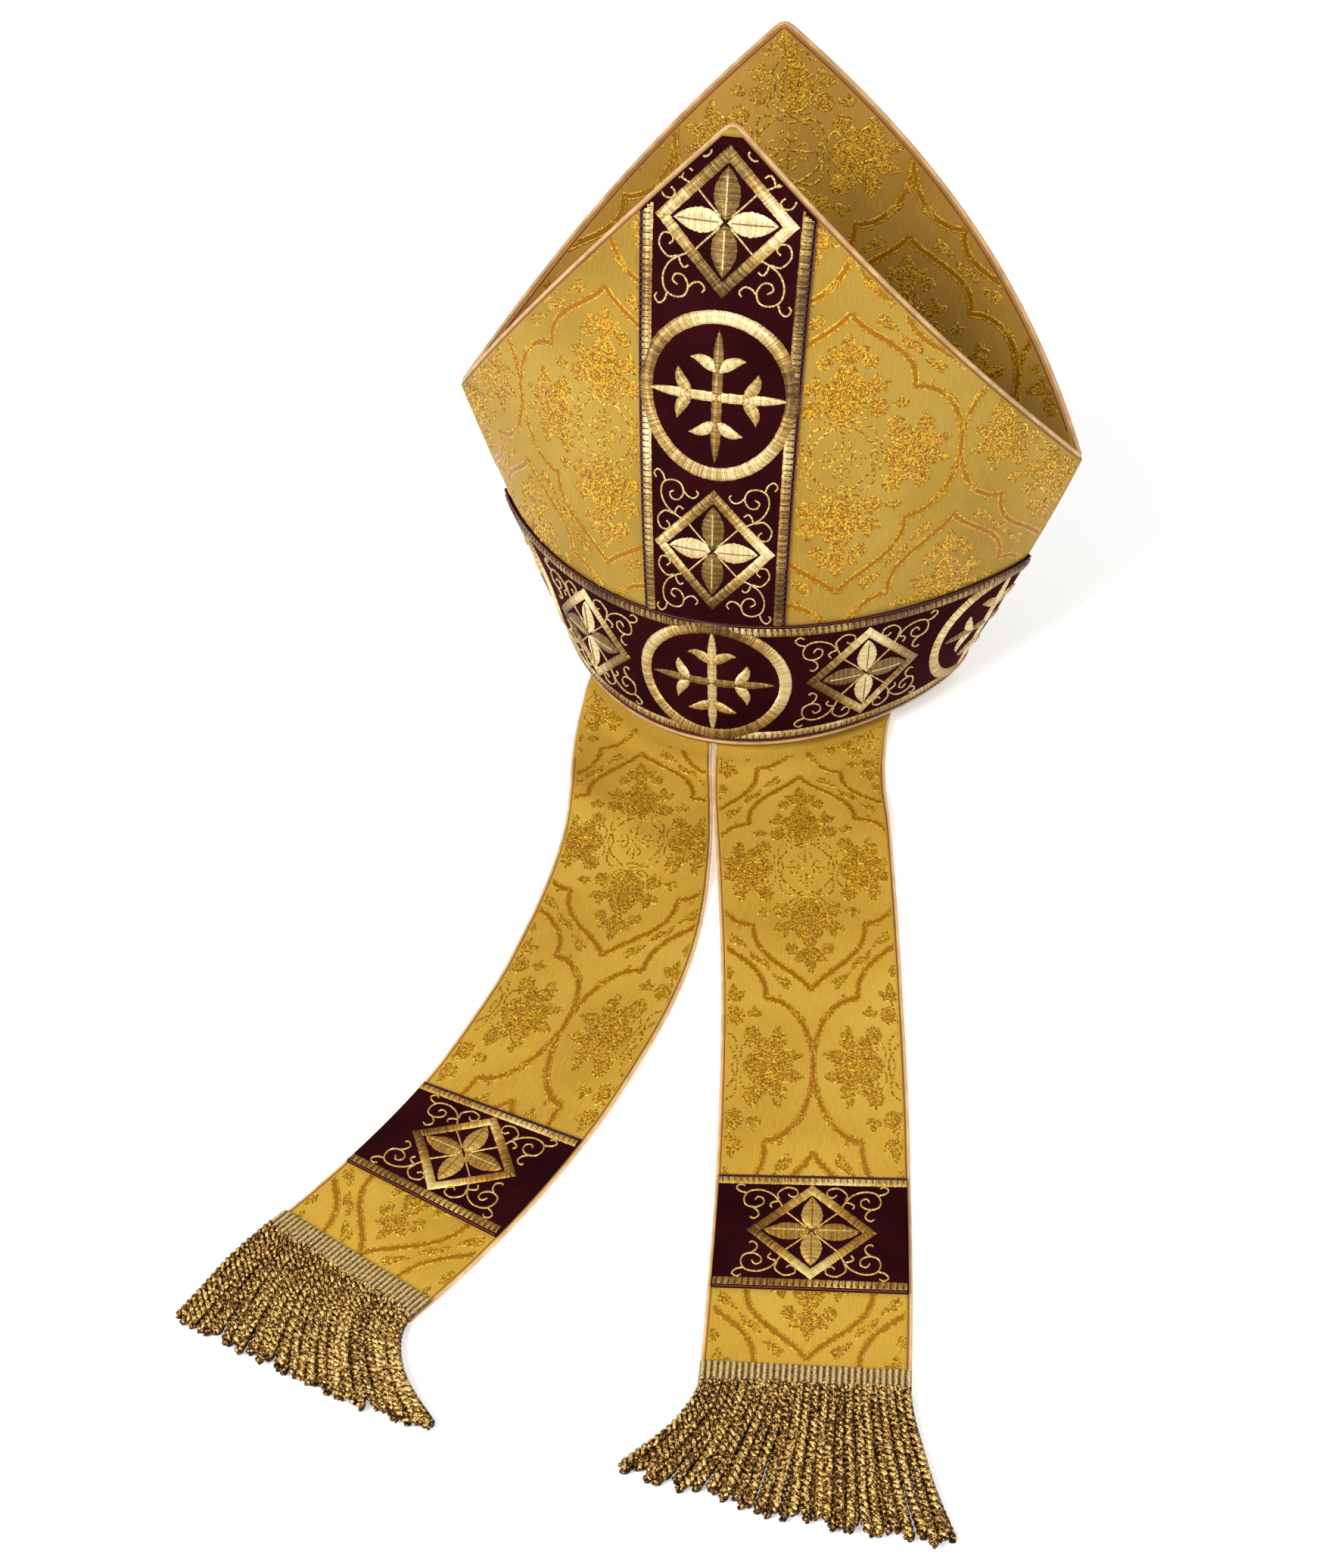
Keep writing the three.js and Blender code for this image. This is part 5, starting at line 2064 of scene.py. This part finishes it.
    def band(self) -> list[Object]:
        """Velvet strip across the lappet with one lozenge.

        Returns:
            The velvet and its embroidery.
        """
        s, lie = self.surface, self.surface.lie
        c = np.linspace(lie.band_from, lie.band_to, 40)[None, :]
        u = np.linspace(-1.0, 1.0, 41)[:, None]
        made = Solid.strip(s, *pair(u * (s.half(c) - 1.5), c), self.band_gap, self.band_wall)
        name = f"{self.name}_lappet_band"
        velvet = made.piece(f"{name}_velvet", [self.finishes.velvet], "velvet_galloon", name)
        strip = LappetBandSurface(s, self.band_gap + self.band_wall)
        reach = (float(s.half(lie.band_from)) - 1.7) / strip.along
        lozenge = GALLOON.lozenge(*self.band_petals).turned(np.diag(self.band_scale))
        made = Solid.of_patch(Patch.join([GALLOON.borders(-reach, reach), lozenge]), strip)
        return [velvet, made.piece(f"{name}_embroidery", self.finishes.galloon(True), "velvet_galloon")]

    def braid(self) -> Object:
        """Ribbed heading: rounded ribs along the lappet, with looped ends at its upper edge.

        Returns:
            The piece.
        """
        s, lie = self.surface, self.surface.lie
        half = float(s.half(lie.end))
        ribs = int(2 * half / self.rib_gap)
        u = np.linspace(-1.0, 1.0, ribs * self.rib_points + 1)[:, None]
        wave = np.abs(np.sin(0.5 * np.pi * ribs * (u + 1.0)))
        t = np.linspace(0.0, 1.0, 12)[None, :]
        e = mix(lie.end - self.heading + self.rib_loop * (1.0 - wave), lie.end + 0.5, t)
        x, y = s.plan(u * half, e)
        ends = np.sqrt(np.clip(1.0 - (2 * t - 1) ** 6, 0.0, 1.0))
        high = self.heading_low + self.braid_wall + self.rib_rise * wave * ends
        outer = abreast(x, y, high) + TO_FRAME
        inner = abreast(x, y, np.full_like(x, self.heading_low)) + TO_FRAME
        uv = np.stack(np.broadcast_arrays(u * half, e), axis=-1)
        made = Solid.wall(outer, inner, uv)
        # Painted shade and highlight: tone is light on the ribs' crowns, dark in the grooves between them and
        # all over the underside.
        made.tone = np.concatenate([np.broadcast_to(wave, x.shape).ravel(), np.zeros(x.size)])
        return made.piece(f"{self.name}_fringe_heading_braid", [self.finishes.heading], "fringe_braid",
                          f"{self.name}_fringe_heading")

    def fringe(self) -> Object:
        """Twisted strands in two layers, fanning out from under the heading and lying on the surface.

        Each strand's line is a quadratic curve that leaves the heading square and ends on the uneven line of
        tips; two plies wind round it as helices half a turn apart.

        Returns:
            The piece.
        """
        s, lie = self.surface, self.surface.lie
        draw = np.random.default_rng(len(self.name))
        half = float(s.half(lie.end)) - 1.6
        t = np.linspace(0.0, 1.0, self.strand_points)
        ring = np.linspace(0.0, 2 * np.pi, self.strand_sides, endpoint=False)[None, :]
        closing = np.sqrt(np.clip((1.004 - t) / self.tip_round, 0.0, 1.0))
        thick = self.ply * mix(*self.taper, smooth(t)) * closing
        parts = []
        for layer, high in enumerate(self.layers):
            for u in np.linspace(-1.0, 1.0, self.strands - layer):
                root = np.stack(s.plan(half * u, lie.end - self.root_in))
                ahead = np.stack(s.plan(half * u, lie.end + self.square_for))
                tip = s.fringe_tip(u + self.tip_stray * draw.uniform(-1, 1))
                tip = mix(root, tip, draw.uniform(self.tip_short, 1.0))
                turn = t[:, None]
                flat = (1 - turn) ** 2 * root + 2 * turn * (1 - turn) * ahead + turn**2 * tip
                wave = np.sin(2 * np.pi * (self.sway_waves * t + draw.uniform()))
                flat[:, 0] += self.sway * smooth(t) * wave
                rest = high - 0.5 * draw.uniform(0.0, 1.0) * layer
                z = mix(self.root_height + self.layer_step * layer, rest, smooth(t * 2.0))
                # Random lightness for each strand, with painted shade on the lower layer.
                light = draw.uniform(*self.light_vary) - self.under_shade * (1 - layer)
                line = np.concatenate([flat, z[:, None]], axis=1) + TO_FRAME
                along = unit(np.gradient(line, axis=0))
                first = unit(np.cross(along, np.array([0.0, 0.0, 1.0])))
                second = np.cross(first, along)
                twist = self.twist * draw.uniform(*self.twist_vary)
                phase = 2 * np.pi * lengths_along(line) / twist + draw.uniform(0, self.first_turn)
                for ply in (0.0, np.pi):
                    around = first * np.cos(phase + ply)[:, None] + second * np.sin(phase + ply)[:, None]
                    tube = Solid.tube(line + around * (self.ply_out * thick)[:, None], thick, ring.size)
                    # Painted shade and highlight: lighter on each ply's crown, darker towards the grooves
                    # between plies and on the strand's underside.
                    crown = 0.65 + 0.35 * np.cos(ring - (phase + ply)[:, None])
                    above = tube.points[:, 2].reshape(crown.shape) - line[:, 2:]
                    above = above / ((1.0 + self.ply_out) * self.ply)
                    tube.tone = (light * crown * np.clip(0.35 + 0.85 * above, 0.0, 1.0)).ravel()
                    parts.append(tube)
        made = Solid.join(parts)
        made.points[:, 2] = np.maximum(made.points[:, 2], self.floor_gap)
        return made.piece(f"{self.name}_fringe_strands", [self.finishes.bullion], "bullion_fringe",
                          f"{self.name}_fringe")

    def build(self) -> None:
        """Makes every piece of the lappet."""
        cloth = self.cloth()
        others = [self.figure(), self.piping(), *self.band(), self.braid(), self.fringe()]


def put_up(made: Object, axes: Array, at: Array) -> None:
    """Turns a camera or a light to three axes, as columns, puts it at a place and links it."""
    made.matrix_world = Matrix([[*row, p] for row, p in zip(axes.tolist(), at)] + [[0, 0, 0, 1]])
    bpy.context.scene.collection.objects.link(made)


@dataclass(frozen=True)
class Studio:
    """Camera at the photograph's angle, pale floor and soft light."""

    camera_at: tuple[float, float, float] = (296.285, -1199.07, 853.96)
    azimuth: float = 0.27995
    elevation: float = 0.64960
    roll: float = -0.02314
    lens: float = 68.35
    sensor: float = 36.0
    floor_half: float = 30.0
    glow: float = 0.42

    def camera(self) -> None:
        """Puts the camera up: it looks back along the azimuth and elevation, rolled slightly."""
        a, e = self.azimuth, self.elevation
        back = np.array([np.sin(a) * np.cos(e), -np.cos(a) * np.cos(e), np.sin(e)])
        right = unit(np.cross(-back, [0.0, 0.0, 1.0]))
        up = np.cross(right, -back)
        c, s = np.cos(self.roll), np.sin(self.roll)
        axes = abreast(c * right + s * up, -s * right + c * up, back)
        data = bpy.data.cameras.new("camera")
        data.lens = self.lens
        data.sensor_width = self.sensor
        made = bpy.data.objects.new("camera", data)
        put_up(made, axes, (TO_FRAME + self.camera_at) * MM)
        bpy.context.scene.camera = made

    def floor(self) -> None:
        """Plain pale floor."""
        mesh = bpy.data.meshes.new("floor")
        corners = ((-1, -1), (1, -1), (1, 1), (-1, 1))
        mesh.from_pydata([(x * self.floor_half, y * self.floor_half, 0.0) for x, y in corners], [],
                         [(0, 1, 2, 3)])
        bench = Bench("floor")
        bench.colour(bench.ramp(bench.grit(3.0), [(0.3, (0.9, 0.9, 0.9)), (0.7, (0.92, 0.92, 0.92))]))
        bench.fixed(Roughness=0.9, Specular_IOR_Level=0.1, Emission_Color=(1.0, 1.0, 1.0, 1.0),
                    Emission_Strength=self.glow)
        mesh.materials.append(bench.material)
        made = bpy.data.objects.new("floor", mesh)
        bpy.context.scene.collection.objects.link(made)

    def lamp(self, name: str, at: tuple, to: tuple, size: float, power: float, tint: tuple) -> None:
        """Square soft light aimed at a point.

        Args:
            name: name of the light.
            at: its place, in metres.
            to: where it points.
            size: side of its square.
            power: watts.
            tint: colour.
        """
        data = bpy.data.lights.new(name, "AREA")
        data.size = size
        data.energy = power
        data.color = tint
        made = bpy.data.objects.new(name, data)
        back = unit(np.subtract(at, to))
        right = unit(np.cross([0.0, 0.0, 1.0], back))
        put_up(made, abreast(right, np.cross(back, right), back), at)

    def light(self) -> None:
        """Soft key from the upper left, fill from the right, and an even white surround."""
        world = bpy.data.worlds.new("surround")
        world.use_nodes = True
        surround = world.node_tree.nodes["Background"]
        surround.inputs["Color"].default_value = (1.0, 1.0, 1.0, 1.0)
        surround.inputs["Strength"].default_value = self.glow
        bpy.context.scene.world = world
        self.lamp("key", (-1.33, -2.73, 2.55), (0.0, 0.0, 0.1), 1.54, 124.0, (1.0, 0.98, 0.95))
        self.lamp("fill", (1.7, -1.7, 2.1), (0.0, 0.0, 0.0), 1.5, 22.0, (1.0, 0.98, 0.96))
        self.lamp("back", (0.1, 1.7, 1.3), (0.0, 0.8, 0.0), 1.2, 5.0, (1.0, 1.0, 1.0))
        bpy.context.scene.view_settings.view_transform = "Standard"

    def build(self) -> None:
        """Camera, floor and lights."""
        self.camera()
        self.floor()
        self.light()


def main() -> None:
    """Builds the studio, then the mitre piece by piece."""
    logging.basicConfig(level=logging.INFO, format="%(name)s %(message)s")
    Studio().build()
    finishes = Finishes()
    panels = {cut: PanelSurface(cut) for cut in (BACK, FRONT)}
    for label, cut in (("back", BACK), ("front", FRONT)):
        PanelWork(label, panels[cut], finishes).build()
    rim = RimWork(RimSurface(panels[BACK], panels[FRONT], 36.0), finishes)
    rim.band()
    rim.piping()
    GussetWork(GussetSurface(panels), finishes).build()
    for lie in (LEFT, RIGHT):
        LappetWork(LappetSurface(lie), finishes).build()


if __name__ == "__main__":
    main()
